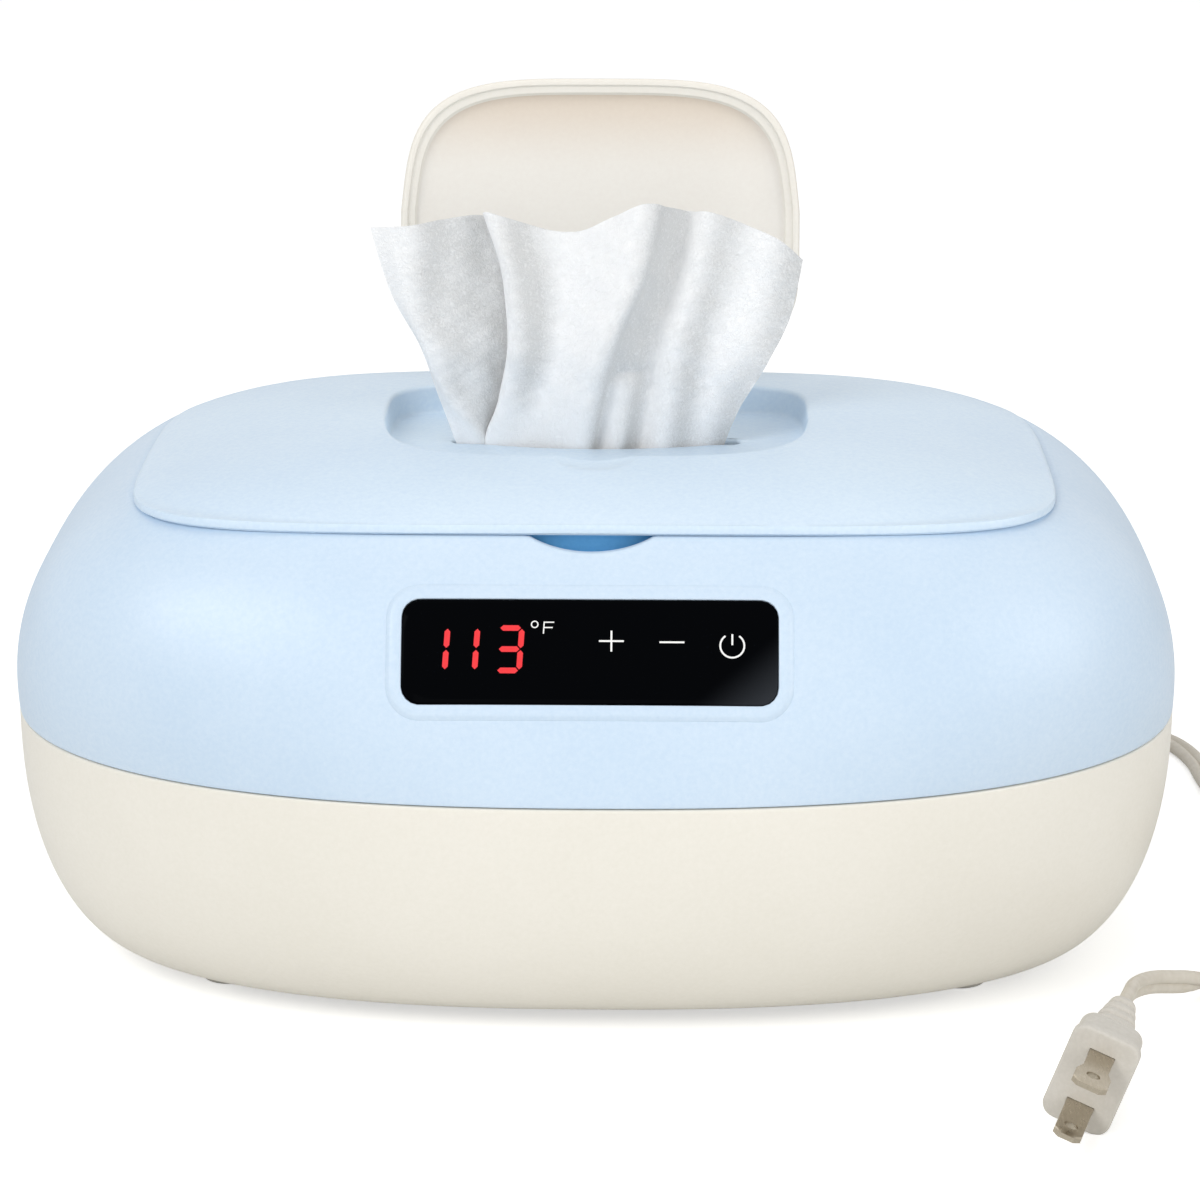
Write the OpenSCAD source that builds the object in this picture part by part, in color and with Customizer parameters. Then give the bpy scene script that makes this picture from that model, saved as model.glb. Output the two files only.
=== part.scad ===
// Wipe warmer with a hinged main lid, a pop-open dispensing lid, a heated tub and a touch display.
// Millimetres. X runs across the front, the front faces -Y, and the feet stand on Z = 0.

/* [Body] */
// Width of the body at the seam
body_w = 276; // [240:1:320]
// Depth of the body at the seam
body_d = 182; // [160:1:210]
// Height of the domed top above the surface it stands on
body_h = 127.8; // [124:0.2:136]
// Height of the seam between the base and the upper housing
seam_z = 62; // [56:1:68]
// Squareness of the plan at the seam
plan_n = 2.39; // [2.1:0.01:2.8]
// Squareness of the plan at the top
top_n = 4.5; // [3.5:0.1:5.5]
// How far the front leans back between the seam and the top
front_lean = 10.1; // [6:0.1:13]
// Thickness of the housing walls
wall = 2.6; // [2:0.1:3.2]
// Gap at the seam between the two housings
seam_gap = 0.3; // [0.2:0.05:0.6]
// Height of the rubber feet
foot_h = 3; // [2:0.5:5]
// Radius of the rubber feet
foot_r = 7; // [5:0.5:9]
// How far the base tapers in at its sides
base_taper = 24.5; // [16:0.5:28]

/* [Main lid] */
// Height of the main lid's lower edge
lid_z = 117.2; // [116:0.1:118]
// Gap between the main lid and the housing under it
lid_gap = 1; // [0.6:0.1:1.4]
// Thickness of the main lid
lid_t = 2.2; // [1.8:0.1:2.4]
// How far the main lid's front and side edges stand above the housing's form
lid_raise = 1.8; // [0.8:0.1:2.4]
// Radius of the main hinge's pins
main_pin_r = 1.75; // [1.4:0.05:2.1]
// Distance of each main hinge from the middle
main_hinge_x = 46; // [38:1:60]
// Width of the main lid's hinge knuckles
knuckle_w = 14; // [10:1:18]
// Thickness of the inner lid
liner_t = 2.5; // [2:0.1:2.6]

// Width of the finger scoop under the main lid
notch_w = 30; // [22:1:40]
// Depth of the finger scoop
notch_h = 6; // [4:0.5:8]

/* [Dispensing lid] */
// Width of the dispensing lid
flip_w = 96; // [84:1:104]
// Length of the dispensing lid
flip_l = 63.4; // [56:0.2:68]
// Thickness of the dispensing lid's plate
flip_t = 2.2; // [1.6:0.1:3]
// Depth of the dispensing lid's rim
flip_rim = 5; // [4:0.1:5.4]
// Clearance round the closed dispensing lid
flip_gap = 0.7; // [0.4:0.1:1]
// How far the dispensing lid opens
flip_open = 105; // [95:1:106]
// Radius of the dispensing lid's hinge pin
flip_pin_r = 1.25; // [1:0.05:1.4]
// Distance of each hinge arm from the middle
arm_x = 25; // [20:1:30]
// Width of the hinge arms
arm_w = 9; // [7:0.5:11]
// Length of the dispensing slot
slot_l = 69; // [60:1:76]
// Width of the dispensing slot
slot_w = 18; // [14:1:20]
// Height of the floor round the slot
recess_z = 120.6; // [120.2:0.1:121]

/* [Tub] */
// Room between the tub's flange and the housing's rim at the sides
tub_side = 7.8; // [6.5:0.1:14]
// Room between the tub's flange and the housing's rim at the front
tub_front = 11; // [8:0.1:16]
// Room between the tub's flange and the housing's rim at the back
tub_back = 14.2; // [12:0.1:20]
// Height of the tub's floor, underside
tub_z = 32; // [30:1:40]
// Thickness of the tub
tub_t = 2; // [1.6:0.1:2.4]
// Width of the tub's flange
flange_w = 4; // [3:0.1:4.5]

/* [Display] */
// Width of the display panel
lens_w = 83; // [74:1:88]
// Height of the display panel
lens_h = 23.4; // [20:0.2:25]
// Radius of the display panel's corners
lens_r = 3.8; // [2.4:0.1:5]
// Thickness of the display panel
lens_t = 2; // [1.6:0.1:2.4]
// Clearance round the display panel
lens_gap = 0.3; // [0.15:0.05:0.5]
// Height of the middle of the display panel
lens_z = 95.6; // [92:0.2:98]
// Tilt of the display panel from upright
lens_tilt = 27.5; // [24:0.5:31]
// Width of the raised surround of the panel
surround = 3.6; // [2:0.1:4]
// How far the surround stands out
surround_out = 0.5; // [0.3:0.05:0.8]

/* [Heater and electronics] */
// Width of the heat-spreading plate
plate_w = 150; // [120:1:160]
// Depth of the heat-spreading plate
plate_d = 72; // [60:1:78]
// Width of the control board
board_w = 80; // [70:1:90]
// Depth of the control board
board_d = 48; // [42:1:54]
// Thickness of the circuit boards
board_t = 1.6; // [1:0.2:2]
// Height of the control board's standoffs
standoff_h = 4; // [3:0.5:6]

/* [Fasteners] */
// Length of the housing screws' threads
screw_l = 18; // [15:1:19]
// Radius of the housing screws' threads
screw_r = 1.5; // [1.2:0.1:1.7]
// Radius of the housing screws' heads
screw_head_r = 2.8; // [2.5:0.1:3.1]
// Room between the tub and the screw posts
post_room = 4.9; // [4:0.1:6]
// Radius of the screw posts
post_r = 3.6; // [3.3:0.1:4]

/* [Hidden] */
seg = 64;

// ---- The form of the body: one superellipse ring at each height ----
base_z = foot_h;                 // underside of the base
A = body_w/2;
B = body_d/2;
base_keep = 1 - base_taper/A;    // share of the width that the underside keeps
depth_taper = 1.28;              // the front and back taper more than the sides

function spow(v, e) = sign(v)*pow(abs(v), e);
function mix(a, b, s) = a + (b - a)*s;
function loop(hw, front, back, nf, nb, yc, z, k=0, n=seg) = [for (i = [0:n-1])
    let (a = 360*i/n, c = cos(a), s = sin(a), e = 2/(s < 0 ? nf : nb))
    [hw*spow(c, e)*(1 - k*max(0, -spow(s, e))), yc + (s < 0 ? front : back)*spow(s, e), z]];

function dome_t(z) = (z - seam_z)/(body_h - seam_z);
function dome_r(t) = pow(max(0, 1 - pow(t, 2.37)), 1/4.41);
function dome_front(t) = max(0.5, B*dome_r(t) - front_lean*t);
function dome_back(t) = B*dome_r(t) + front_lean*t*t;
function dome_n(t) = mix(plan_n, top_n, t);
function base_s(z) = base_keep + (1 - base_keep)
    *pow(max(0, 1 - pow((seam_z - z)/(seam_z - base_z), 2.363)), 1/1.723);

// A ring of the outer form at height z, moved inwards by inset.
function body_ring(z, inset=0) = z >= seam_z
    ? let (t = dome_t(z)) loop(A*dome_r(t) - inset, dome_front(t) - inset, dome_back(t) - inset,
        dome_n(t), dome_n(t), 0, z)
    : let (s = base_s(z), d = B - depth_taper*A*(1 - s) - inset)
        loop(A*s - inset, d, d, plan_n, plan_n, 0, z);
function set_z(ring, z) = [for (p = ring) [p.x, p.y, z]];

// Height of the dome over a point, by halving.
function under_dome(x, y, z) = let (t = dome_t(z), n = dome_n(t))
    pow(abs(x)/max(0.01, A*dome_r(t)), n)
    + pow(abs(y)/max(0.01, y < 0 ? dome_front(t) : dome_back(t)), n) < 1;
function dome_z(x, y, lo=seam_z, hi=body_h, i=20) = i == 0 ? lo : let (m = (lo + hi)/2)
    under_dome(x, y, m) ? dome_z(x, y, m, hi, i - 1) : dome_z(x, y, lo, m, i - 1);

// Closed skin through a list of rings: the outside goes up and the inside comes down.
// Its ends are flat caps, or fans of triangles where the end rings are bent.
module loft(rings, cyclic=false, fan=false) {
    k = len(rings);
    n = len(rings[0]);
    side = [for (i = [0:(cyclic ? k-1 : k-2)], j = [0:n-1]) let (a = i*n + j, b = i*n + (j+1)%n,
        c = ((i+1)%k)*n + (j+1)%n, d = ((i+1)%k)*n + j) each [[a, c, b], [a, d, c]]];
    flat = [[for (j = [0:n-1]) j], [for (j = [n-1:-1:0]) (k-1)*n + j]];
    fans = [for (j = [0:n-1]) each [[j, (j+1)%n, k*n], [(k-1)*n + (j+1)%n, (k-1)*n + j, k*n + 1]]];
    polyhedron(concat([for (r = rings) each r], fan ? [mean(rings[0]), mean(rings[k-1])] : []),
        concat(side, cyclic ? [] : fan ? fans : flat));
}
function mean(r) = [for (q = [0:2]) let (v = [for (p = r) p[q]]) v*[for (p = r) 1]/len(r)];
module plate(ring, z0, z1) {
    translate([0, 0, z0]) linear_extrude(z1 - z0) polygon([for (p = ring) [p.x, p.y]]);
}
module rod_x(r, x0, x1, y, z, fn=32) {
    translate([x0, y, z]) rotate([0, 90, 0]) cylinder(r=r, h=x1 - x0, $fn=fn);
}
module box(x0, x1, y0, y1, z0, z1) {
    translate([x0, y0, z0]) cube([x1 - x0, y1 - y0, z1 - z0]);
}

// ---- Places that several pieces share ----
rim_z = lid_z - lid_gap;                 // top of the housing's rim
rim_in = 2.2;                            // width of the rim's land
ledge_z = rim_z - 5.6;                   // ledge that carries the tub
ledge_t = 2.4;
rim_t = dome_t(rim_z);
tub_w = 2*(A*dome_r(rim_t) - rim_in - tub_side - flange_w);
tub_y0 = dome_front(rim_t) - rim_in - tub_front - flange_w;
tub_y1 = dome_back(rim_t) - rim_in - tub_back - flange_w;
tub_d = tub_y0 + tub_y1;
screw_x = tub_w/2 + post_room + post_r;  // housing screws
tub_y = (tub_y1 - tub_y0)/2;             // middle of the tub, front to back
function tub_ring(out, z) = loop(tub_w/2 + out, tub_d/2 + out, tub_d/2 + out, 5, 5, tub_y, z);

recess_y = 5;                            // middle of the dispensing lid
flip_edge = flip_gap + 2.2;              // soft edge of the recess
function flip_ring(out, z, n=seg) = loop(flip_w/2 + out, flip_l/2 + out, flip_l/2 + out,
    3.8, 6, recess_y, z, 0.067, n);

flip_top = body_h - 0.5;                 // top face of the closed dispensing lid
flip_ay = recess_y + flip_l/2 + 11.6;    // its hinge axis
flip_az = flip_top - 3.5;
flip_barrel = 3.1;
arm_gap = 0.5;
pocket_y = flip_ay + flip_barrel + 1.4;  // back of the hinge pockets
pocket_z = flip_az - flip_barrel - arm_gap;

main_ay = dome_back(dome_t(lid_z)) + 3.2;   // main hinge axis
main_az = lid_z - 2.6;
main_barrel = 3.9;
knuckle_gap = 0.4;
post_y = 15;                             // housing screws, front to back
liner_top = recess_z - lid_t - 0.3;
liner_z = liner_top - liner_t;
flange_top = ledge_z + 1.8;
slot_y = recess_y;
wipe_y = slot_y - slot_w/2 + 2.7;        // the wipe leans on the front of the slot

module rounded(w, h, r) {
    offset(r=r, $fn=32) square([w - 2*r, h - 2*r], center=true);
}
module stadium(l, w) {
    union() {
        square([l - w, w], center=true);
        for (s = [-1, 1]) translate([s*(l - w)/2, 0]) circle(d=w, $fn=40);
    }
}
foot_x = base_keep*A - 27;               // places of the feet
foot_y = 34;
module at_feet() { for (x = [-1, 1], y = [-1, 1]) translate([x*foot_x, y*foot_y]) children(); }
module at_screws() { for (x = [-1, 1], y = [-1, 1]) translate([x*screw_x, y*post_y]) children(); }

// ---- Base ----
base_in = base_z + wall;                 // floor inside the base
board_x = 24;
board_y = 2;
board_z = base_in + standoff_h;
module at_board_screws() {
    for (x = [-1, 1], y = [-1, 1])
        translate([board_x + x*(board_w/2 - 4), board_y + y*(board_d/2 - 4)]) children();
}
exit_x = 85;                             // where the cord leaves the base
exit_z = 16;
exit_r = 5;
exit_y = 66;
well_top = 22;                           // top of the screw wells in the base
screw_seat = 8;                          // depth of the screws' seats in the underside
head_h = 2.2;                            // height of the screws' heads

module base_housing() color("#ece9df") {
    difference() {
        union() {
            loft(concat(
                [for (z = [base_z, base_z + 1.2, base_z + 4, base_z + 10, base_z + 18, base_z + 29,
                    base_z + 43, seam_z - seam_gap/2]) body_ring(z)],
                [for (z = [seam_z - seam_gap/2, base_z + 43, base_z + 29, base_z + 18, base_z + 10,
                    base_z + 4.6]) body_ring(z, wall)],
                [set_z(body_ring(base_z + 1.6, wall), base_in)]));
            at_screws() translate([0, 0, base_in - 0.5]) cylinder(r=post_r + 0.9, h=well_top - base_in + 0.5,
                $fn=24);
            at_board_screws() translate([0, 0, base_in - 0.5]) cylinder(r=3, h=standoff_h + 0.5, $fn=20);
        }
        at_screws() {
            translate([0, 0, base_z - 1]) cylinder(r=screw_r + 0.25, h=well_top, $fn=24);
            translate([0, 0, base_z - 1]) cylinder(r=screw_head_r + 0.4, h=screw_seat + 1, $fn=24);
        }
        at_board_screws() translate([0, 0, base_in]) cylinder(r=1.1, h=standoff_h + 1, $fn=20);
        translate([exit_x, 40, exit_z]) rotate([-90, 0, 0]) cylinder(r=exit_r, h=45, $fn=32);
    }
}

module feet() color("#8e8e88") at_feet() rotate_extrude($fn=40)
    polygon([[0, 0], [foot_r - 1.2, 0], [foot_r - 0.4, 0.4], [foot_r, 1.2], [foot_r, foot_h], [0, foot_h]]);

module housing_screws() color("#9a9a9a") at_screws() translate([0, 0, base_z + screw_seat]) {
    translate([0, 0, -head_h]) cylinder(r=screw_head_r, h=head_h, $fn=24);
    cylinder(r=screw_r, h=screw_l, $fn=24);
}

// ---- Upper housing ----
lens_c = [0, -B + front_lean*dome_t(lens_z) + B*(1 - dome_r(dome_t(lens_z))), lens_z];
lens_n = [0, -cos(lens_tilt), sin(lens_tilt)];
lens_u = [0, sin(lens_tilt), cos(lens_tilt)];
function front_y(x, z) = let (t = dome_t(z), n = dome_n(t))
    -dome_front(t)*pow(max(0, 1 - pow(abs(x)/(A*dome_r(t)), n)), 1/n);
// The point of the front wall seen at (u, v) along the panel's normal, and out from it.
function on_front(u, v, s=0, i=6) = let (p = lens_c + v*lens_u + s*lens_n)
    i == 0 ? [u, p.y, p.z] : on_front(u, v, s - (front_y(u, p.z) - p.y)*cos(lens_tilt), i - 1);
function front_ring(w, h, r, out, f=1, n=48) = [for (i = [0:n-1]) let (a = 360*i/n,
    x = (w/2 - r)*sign(round(cos(a)*1e6)) + r*cos(a), q = (h/2 - r)*sign(round(sin(a)*1e6)) + r*sin(a))
    on_front(x*f, q*f) + out*lens_n];
module on_panel(d=0) {
    translate(lens_c + d*lens_n) rotate([90 - lens_tilt, 0, 0]) children();
}

module knuckles(x0, x1) {
    rod_x(main_barrel, x0, x1, main_ay, main_az, 40);
}
module notch_cut() {
    // finger scoop under the front of the main lid
    translate([0, front_y(0, rim_z) + 8, rim_z + 1.8]) rotate([90, 0, 0]) linear_extrude(16)
        polygon([for (i = [0:35]) [notch_w/2*cos(10*i), notch_h*sin(10*i)]]);
}
module upper_housing() color("#d3e4f3") {
    difference() {
        union() {
            loft(concat(
                [body_ring(seam_z + seam_gap/2)],
                [for (f = [0.15, 0.3, 0.43, 0.55, 0.66, 0.75, 0.83, 0.9, 0.95])
                    body_ring(mix(seam_z, rim_z, f))],
                [body_ring(rim_z - 0.6), body_ring(rim_z, 0.5)],
                [body_ring(rim_z, rim_in), set_z(body_ring(rim_z, rim_in), ledge_z)],
                [tub_ring(0.6, ledge_z), tub_ring(0.6, ledge_z - ledge_t)],
                [body_ring(ledge_z - ledge_t, wall*1.3)],
                [for (f = [0.7, 0.52, 0.34, 0.17]) body_ring(mix(seam_z, rim_z, f), wall)],
                [body_ring(seam_z + 4, wall), body_ring(seam_z + 1.5, wall*2),
                    body_ring(seam_z - 4, wall*2), body_ring(seam_z - 4, wall + 0.35),
                    body_ring(seam_z + seam_gap/2, wall + 0.35)]), cyclic=true);
            at_screws() translate([0, 0, well_top + 0.3]) cylinder(r=post_r, h=ledge_z - 1 - well_top,
                $fn=24);
            surround_ring();
            for (s = [-1, 1]) {
                hinge_block(s*main_hinge_x - knuckle_w/2 - knuckle_gap - 6, s*main_hinge_x - knuckle_w/2
                    - knuckle_gap);
                hinge_block(s*main_hinge_x + knuckle_w/2 + knuckle_gap, s*main_hinge_x + knuckle_w/2
                    + knuckle_gap + 6);
            }
        }
        at_screws() translate([0, 0, well_top]) cylinder(r=screw_r + 0.05, h=14, $fn=24);
        on_panel(-12) linear_extrude(20) rounded(lens_w + 2*lens_gap, lens_h + 2*lens_gap,
            lens_r + lens_gap);
        notch_cut();
        for (s = [-1, 1]) {
            box(s*main_hinge_x - knuckle_w/2 - knuckle_gap, s*main_hinge_x + knuckle_w/2 + knuckle_gap,
                main_ay - main_barrel - 0.8, main_ay + 12, main_az - main_barrel - 0.6, rim_z + 4);
            rod_x(main_pin_r + 0.04, s*main_hinge_x - knuckle_w/2 - knuckle_gap - 4.6,
                s*main_hinge_x + knuckle_w/2 + knuckle_gap + 7, main_ay, main_az);
        }
    }
}
module hinge_block(x0, x1) {
    knuckles(x0, x1);
    box(x0, x1, main_ay - main_barrel - 1, main_ay, main_az - main_barrel, main_az);
}
// A frame round the panel: its outer edge is bevelled and its face is flat.
module surround_ring() {
    bevel = 1.1;
    loft([lens_ring(surround, -1.2, 0.1), lens_ring(surround, -1.2), lens_ring(surround, 0),
        lens_ring(surround - bevel, surround_out), lens_ring(0, surround_out),
        lens_ring(0, surround_out, 0.1)], fan=true);
}
function lens_ring(grow, out, f=1) =
    front_ring(lens_w + 2*grow, lens_h + 2*grow, lens_r + grow, out, f);

// ---- Tub and heater ----
module inner_tub() color("#f2f2ee") loft(concat(
    [tub_ring(-7, tub_z), tub_ring(-3, tub_z + 0.8), tub_ring(-1.2, tub_z + 3), tub_ring(-0.4, tub_z + 8)],
    [tub_ring(0, ledge_z - ledge_t - 3), tub_ring(0, ledge_z)],
    [tub_ring(flange_w, ledge_z), tub_ring(flange_w, flange_top), tub_ring(0.6 - tub_t, flange_top)],
    [tub_ring(-tub_t, flange_top - 0.8), tub_ring(-tub_t - 0.4, tub_z + 9)],
    [tub_ring(-tub_t - 1.4, tub_z + 4.4), tub_ring(-tub_t - 3.4, tub_z + 2.6)],
    [tub_ring(-tub_t - 6, tub_z + tub_t)]));

plate_t = 1.5;
film_t = 0.8;
pad_t = 4;
module heat_plate() color("#b9bcc0") translate([0, tub_y, tub_z - plate_t]) linear_extrude(plate_t)
    difference() {
        rounded(plate_w, plate_d, 10);
        for (x = [-1, 1]) translate([x*plate_w/4, 0]) circle(r=3, $fn=24);
    }
module heater_film() color("#b9772e") translate([0, tub_y, tub_z - plate_t - film_t]) linear_extrude(film_t)
    difference() {
        rounded(plate_w - 8, plate_d - 8, 8);
        for (x = [-1, 1]) translate([x*plate_w/4, 0]) circle(r=7, $fn=24);
    }
module insulation_pad() color("#dedad0") translate([0, tub_y, tub_z - plate_t - film_t - 0.3 - pad_t])
    linear_extrude(pad_t) difference() {
        rounded(plate_w + 4, plate_d + 4, 12);
        for (x = [-1, 1]) translate([x*plate_w/4, 0]) circle(r=7, $fn=24);
    }
module thermal_sensor() color("#c9a24a") translate([-plate_w/4, tub_y, tub_z - plate_t - 4]) union() {
    cylinder(r=2.4, h=4, $fn=24);
    translate([0, 0, -1.4]) cylinder(r=1.6, h=1.4, $fn=24);
}
module thermal_fuse() color("#d8d8d2") translate([plate_w/4, tub_y, tub_z - plate_t - 3.4]) union() {
    cylinder(r=4.4, h=3.4, $fn=32);
    for (s = [-1, 1]) box(s*5 - 1.5, s*5 + 1.5, -1, 1, 1, 1.6);
}

// ---- Electronics ----
module control_board() color("#2f6d45") difference() {
    box(board_x - board_w/2, board_x + board_w/2, board_y - board_d/2, board_y + board_d/2, board_z,
        board_z + board_t);
    at_board_screws() translate([0, 0, board_z - 1]) cylinder(r=1.6, h=board_t + 2, $fn=24);
}
module board_parts() color("#2a2f38") translate([board_x, board_y, board_z + board_t]) {
    w = board_w/2;
    d = board_d/2;
    difference() {                                                   // transformer with its core
        box(8 - w, 24 - w, 10 - d, d - 14, 0, 11);
        box(7 - w, 10 - w, 14 - d, d - 18, 3, 12);
    }
    translate([w - 46, d - 16, 0]) cylinder(r=4, h=11, $fn=32);      // main capacitor
    translate([w - 36, d - 14, 0]) cylinder(r=2.6, h=8, $fn=24);
    box(w - 38, w - 26, 6 - d, d - 28, 0, 9);                        // relay
    box(w - 49, w - 43, 8 - d, 20 - d, 0, 6);                        // cable socket
    box(w - 20, w - 7, d - 24, d - 12, 0, 8);                        // mains terminal
    translate([w - 16, 12 - d, 0]) cylinder(r=3.2, h=7, $fn=24);     // choke
}
module board_screws() color("#9a9a9a") at_board_screws() translate([0, 0, board_z + board_t]) union() {
    translate([0, 0, -board_t - 3]) cylinder(r=1.1, h=board_t + 3, $fn=24);
    cylinder(r=2.2, h=1.5, $fn=24);
}

lens_back = -0.2 - lens_t;
module display_lens() color("#06080b") loft(concat(
    [for (f = [0.1, 0.5, 1]) lens_ring(0, lens_back, f)], [lens_ring(0, -0.4)],
    [for (f = [1, 0.5, 0.1]) lens_ring(-0.25, -0.2, f)]), fan=true);
digits_w = 40;
digits_h = 15;
digits_x = -8;
digits_d = min([for (x = [-1, 1], v = [-1, 1]) (on_front(digits_x + x*digits_w/2, v*digits_h/2) - lens_c)
    *lens_n]) + lens_back - 0.3;             // the digits' front, clear of the bent panel
digits_t = 7;                            // thickness of the digit module
dboard_d = digits_d - digits_t;
module digit_module() color("#1b1b1d") on_panel(dboard_d) translate([digits_x, 0, 0])
    linear_extrude(digits_t) rounded(digits_w, digits_h, 1);
module display_board() color("#2f6d45") on_panel(dboard_d - board_t) linear_extrude(board_t) difference() {
    rounded(lens_w - 4, lens_h + 6, 2);
    for (x = [-1, 1]) translate([x*(lens_w/2 - 5), lens_h/2 - 0.7]) circle(r=1.3, $fn=20);
}
module touch_springs() color("#c0a060") on_panel(dboard_d) for (x = [20, 26.5, 33])
    translate([x, 0, 0]) cylinder(r=1.8, $fn=24,
        h=min([for (a = [-2, 2], v = [-2, 2]) (on_front(x + a, v) - lens_c)*lens_n]) + lens_back - 0.2
        - dboard_d);
ribbon_w = 10;                           // width of the flat cable
socket_y = board_y - board_d/2 + 14;     // its socket on the control board
socket_z = board_z + board_t + 6;
module display_ribbon() color("#b9b4a8") {
    p = lens_c + (dboard_d - board_t)*lens_n - 8*lens_u;
    translate([board_x - ribbon_w - 1, 0, 0]) rotate([90, 0, 90]) linear_extrude(ribbon_w) polygon([
        [p.y, p.z], [p.y + 3, p.z - 2], [p.y + 3.4, p.z - 10], [p.y + 3.4, socket_z + 6.8],
        [p.y + 6, socket_z + 2.8], [socket_y - 7, socket_z + 1.8], [socket_y + 0.5, socket_z + 1.2],
        [socket_y + 0.5, socket_z + 0.4], [socket_y - 7.5, socket_z + 1], [p.y + 5.4, socket_z + 2],
        [p.y + 2.6, socket_z + 6.4], [p.y + 2.6, p.z - 10], [p.y + 2.2, p.z - 2.6]]);
}

// ---- Main lid ----
lid_edge = body_ring(lid_z);
recess_edge = flip_ring(flip_edge, body_h);
// A ring part of the way from the lid's edge to the recess, laid on the dome.
function lid_ring(s, down=0) = [for (i = [0:seg-1]) let (x = mix(lid_edge[i].x, recess_edge[i].x, s),
    y = mix(lid_edge[i].y, recess_edge[i].y, s)) [x, y, dome_z(x, y) - down]];
// The lid's edge stands proud at the front and the sides, and meets the form again at the back.
function lip(y) = lid_raise*min(1, max(0, 1 - y/60));
function raised(ring, share) = [for (p = ring) [p.x, p.y, p.z + share*lip(p.y)]];
function dip(ring, d) = [for (p = ring) [p.x, p.y, dome_z(p.x, p.y) - d]];

module to_open() {
    translate([0, flip_ay, flip_az]) rotate([-flip_open, 0, 0]) translate([0, -flip_ay, -flip_az]) children();
}

module main_lid() color("#d7e7f5") {
    difference() {
        union() {
            loft(concat(
                [flip_ring(flip_gap - 0.4, recess_z - lid_t),
                    flip_ring(flip_gap + lid_t, recess_z - lid_t + 0.8),
                    dip(flip_ring(flip_gap + lid_t + 0.6, 0), lid_t + 2)],
                [for (s = [0.9, 0.7, 0.45, 0.25, 0.12]) lid_ring(s, lid_t + 0.3)],
                [body_ring(lid_z, 2.6), body_ring(lid_z, 0.5), set_z(body_ring(lid_z, 0.05), lid_z + 0.5)],
                [raised(set_z(body_ring(lid_z, 0.3), lid_z + 0.6), 0.6)],
                [for (s = [0.02, 0.06, 0.12, 0.25, 0.45, 0.7, 0.9]) raised(lid_ring(s), pow(1 - s, 4))],
                [dip(recess_edge, 0), dip(flip_ring(flip_gap + 0.8, 0), 0.5)],
                [dip(flip_ring(flip_gap, 0), 1.8), flip_ring(flip_gap - 0.2, recess_z + 0.9),
                    flip_ring(flip_gap - 1.2, recess_z)]));
            for (s = [-1, 1]) {
                box(s*arm_x - arm_w/2 - arm_gap - 1.8, s*arm_x + arm_w/2 + arm_gap + 1.8,
                    recess_y + flip_l/2 + 0.4, pocket_y + 1.8, pocket_z - 1.4, flip_top - 1.6);
                lid_arm(s*main_hinge_x);
            }
        }
        for (s = [-1, 1]) {
            box(s*arm_x - arm_w/2 - arm_gap, s*arm_x + arm_w/2 + arm_gap, recess_y + flip_l/2 - 3,
                pocket_y, pocket_z, body_h + 1);
            rod_x(main_pin_r + 0.04, s*main_hinge_x - knuckle_w, s*main_hinge_x + knuckle_w, main_ay,
                main_az);
        }
        rod_x(flip_pin_r + 0.03, -arm_x - arm_w/2 - arm_gap - 1.2, arm_x + arm_w/2 + arm_gap + 1.2,
            flip_ay, flip_az);
        translate([0, slot_y, recess_z - lid_t - 1]) linear_extrude(lid_t + 3) stadium(slot_l, slot_w);
        // shallow dish for a fingertip in front of the dispensing lid
        translate([0, recess_y - flip_l/2 - dish_r/2, dome_z(0, recess_y - flip_l/2 - dish_r/2) - dish_h
            + dish_ball]) sphere(r=dish_ball, $fn=64);
    }
}
dish_r = 9;                              // radius and depth of the fingertip dish
dish_h = 1.4;
dish_ball = (dish_r*dish_r + dish_h*dish_h)/2/dish_h;
arm_l = 9;                               // length of the arms that carry the main lid
module lid_arm(x) {
    rod_x(main_barrel, x - knuckle_w/2, x + knuckle_w/2, main_ay, main_az, 40);
    translate([x - knuckle_w/2, 0, 0]) rotate([90, 0, 90]) linear_extrude(knuckle_w) polygon([
        [main_ay, main_az + main_barrel], [main_ay - 5, main_az + main_barrel + 0.2],
        [main_ay - arm_l, lid_z + 2.2], [main_ay - arm_l, lid_z + 0.2], [main_ay - 3, lid_z - 0.1],
        [main_ay, main_az]]);
}
module main_lid_liner() color("#f0efea") difference() {
    union() {
        plate(tub_ring(flange_w - 1.4, 0), liner_z, liner_top);
        difference() {
            plate(tub_ring(-tub_t - 1, 0), flange_top - 5, liner_z + 0.1);
            plate(tub_ring(-tub_t - 3, 0), flange_top - 6, liner_z);
        }
    }
    translate([0, slot_y, flange_top - 8]) linear_extrude(20) stadium(slot_l + 2, slot_w + 2);
}
module lid_gasket() color("#c9cdd0") difference() {
    plate(tub_ring(flange_w - 1.8, 0), flange_top + 0.3, liner_z - 0.3);
    plate(tub_ring(-0.8, 0), flange_top, liner_z);
}
module main_lid_pins() color("#b5b7ba") for (s = [-1, 1])
    rod_x(main_pin_r, s*main_hinge_x - knuckle_w/2 - knuckle_gap - 4.4,
        s*main_hinge_x + knuckle_w/2 + knuckle_gap + 5.8, main_ay, main_az);

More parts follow.
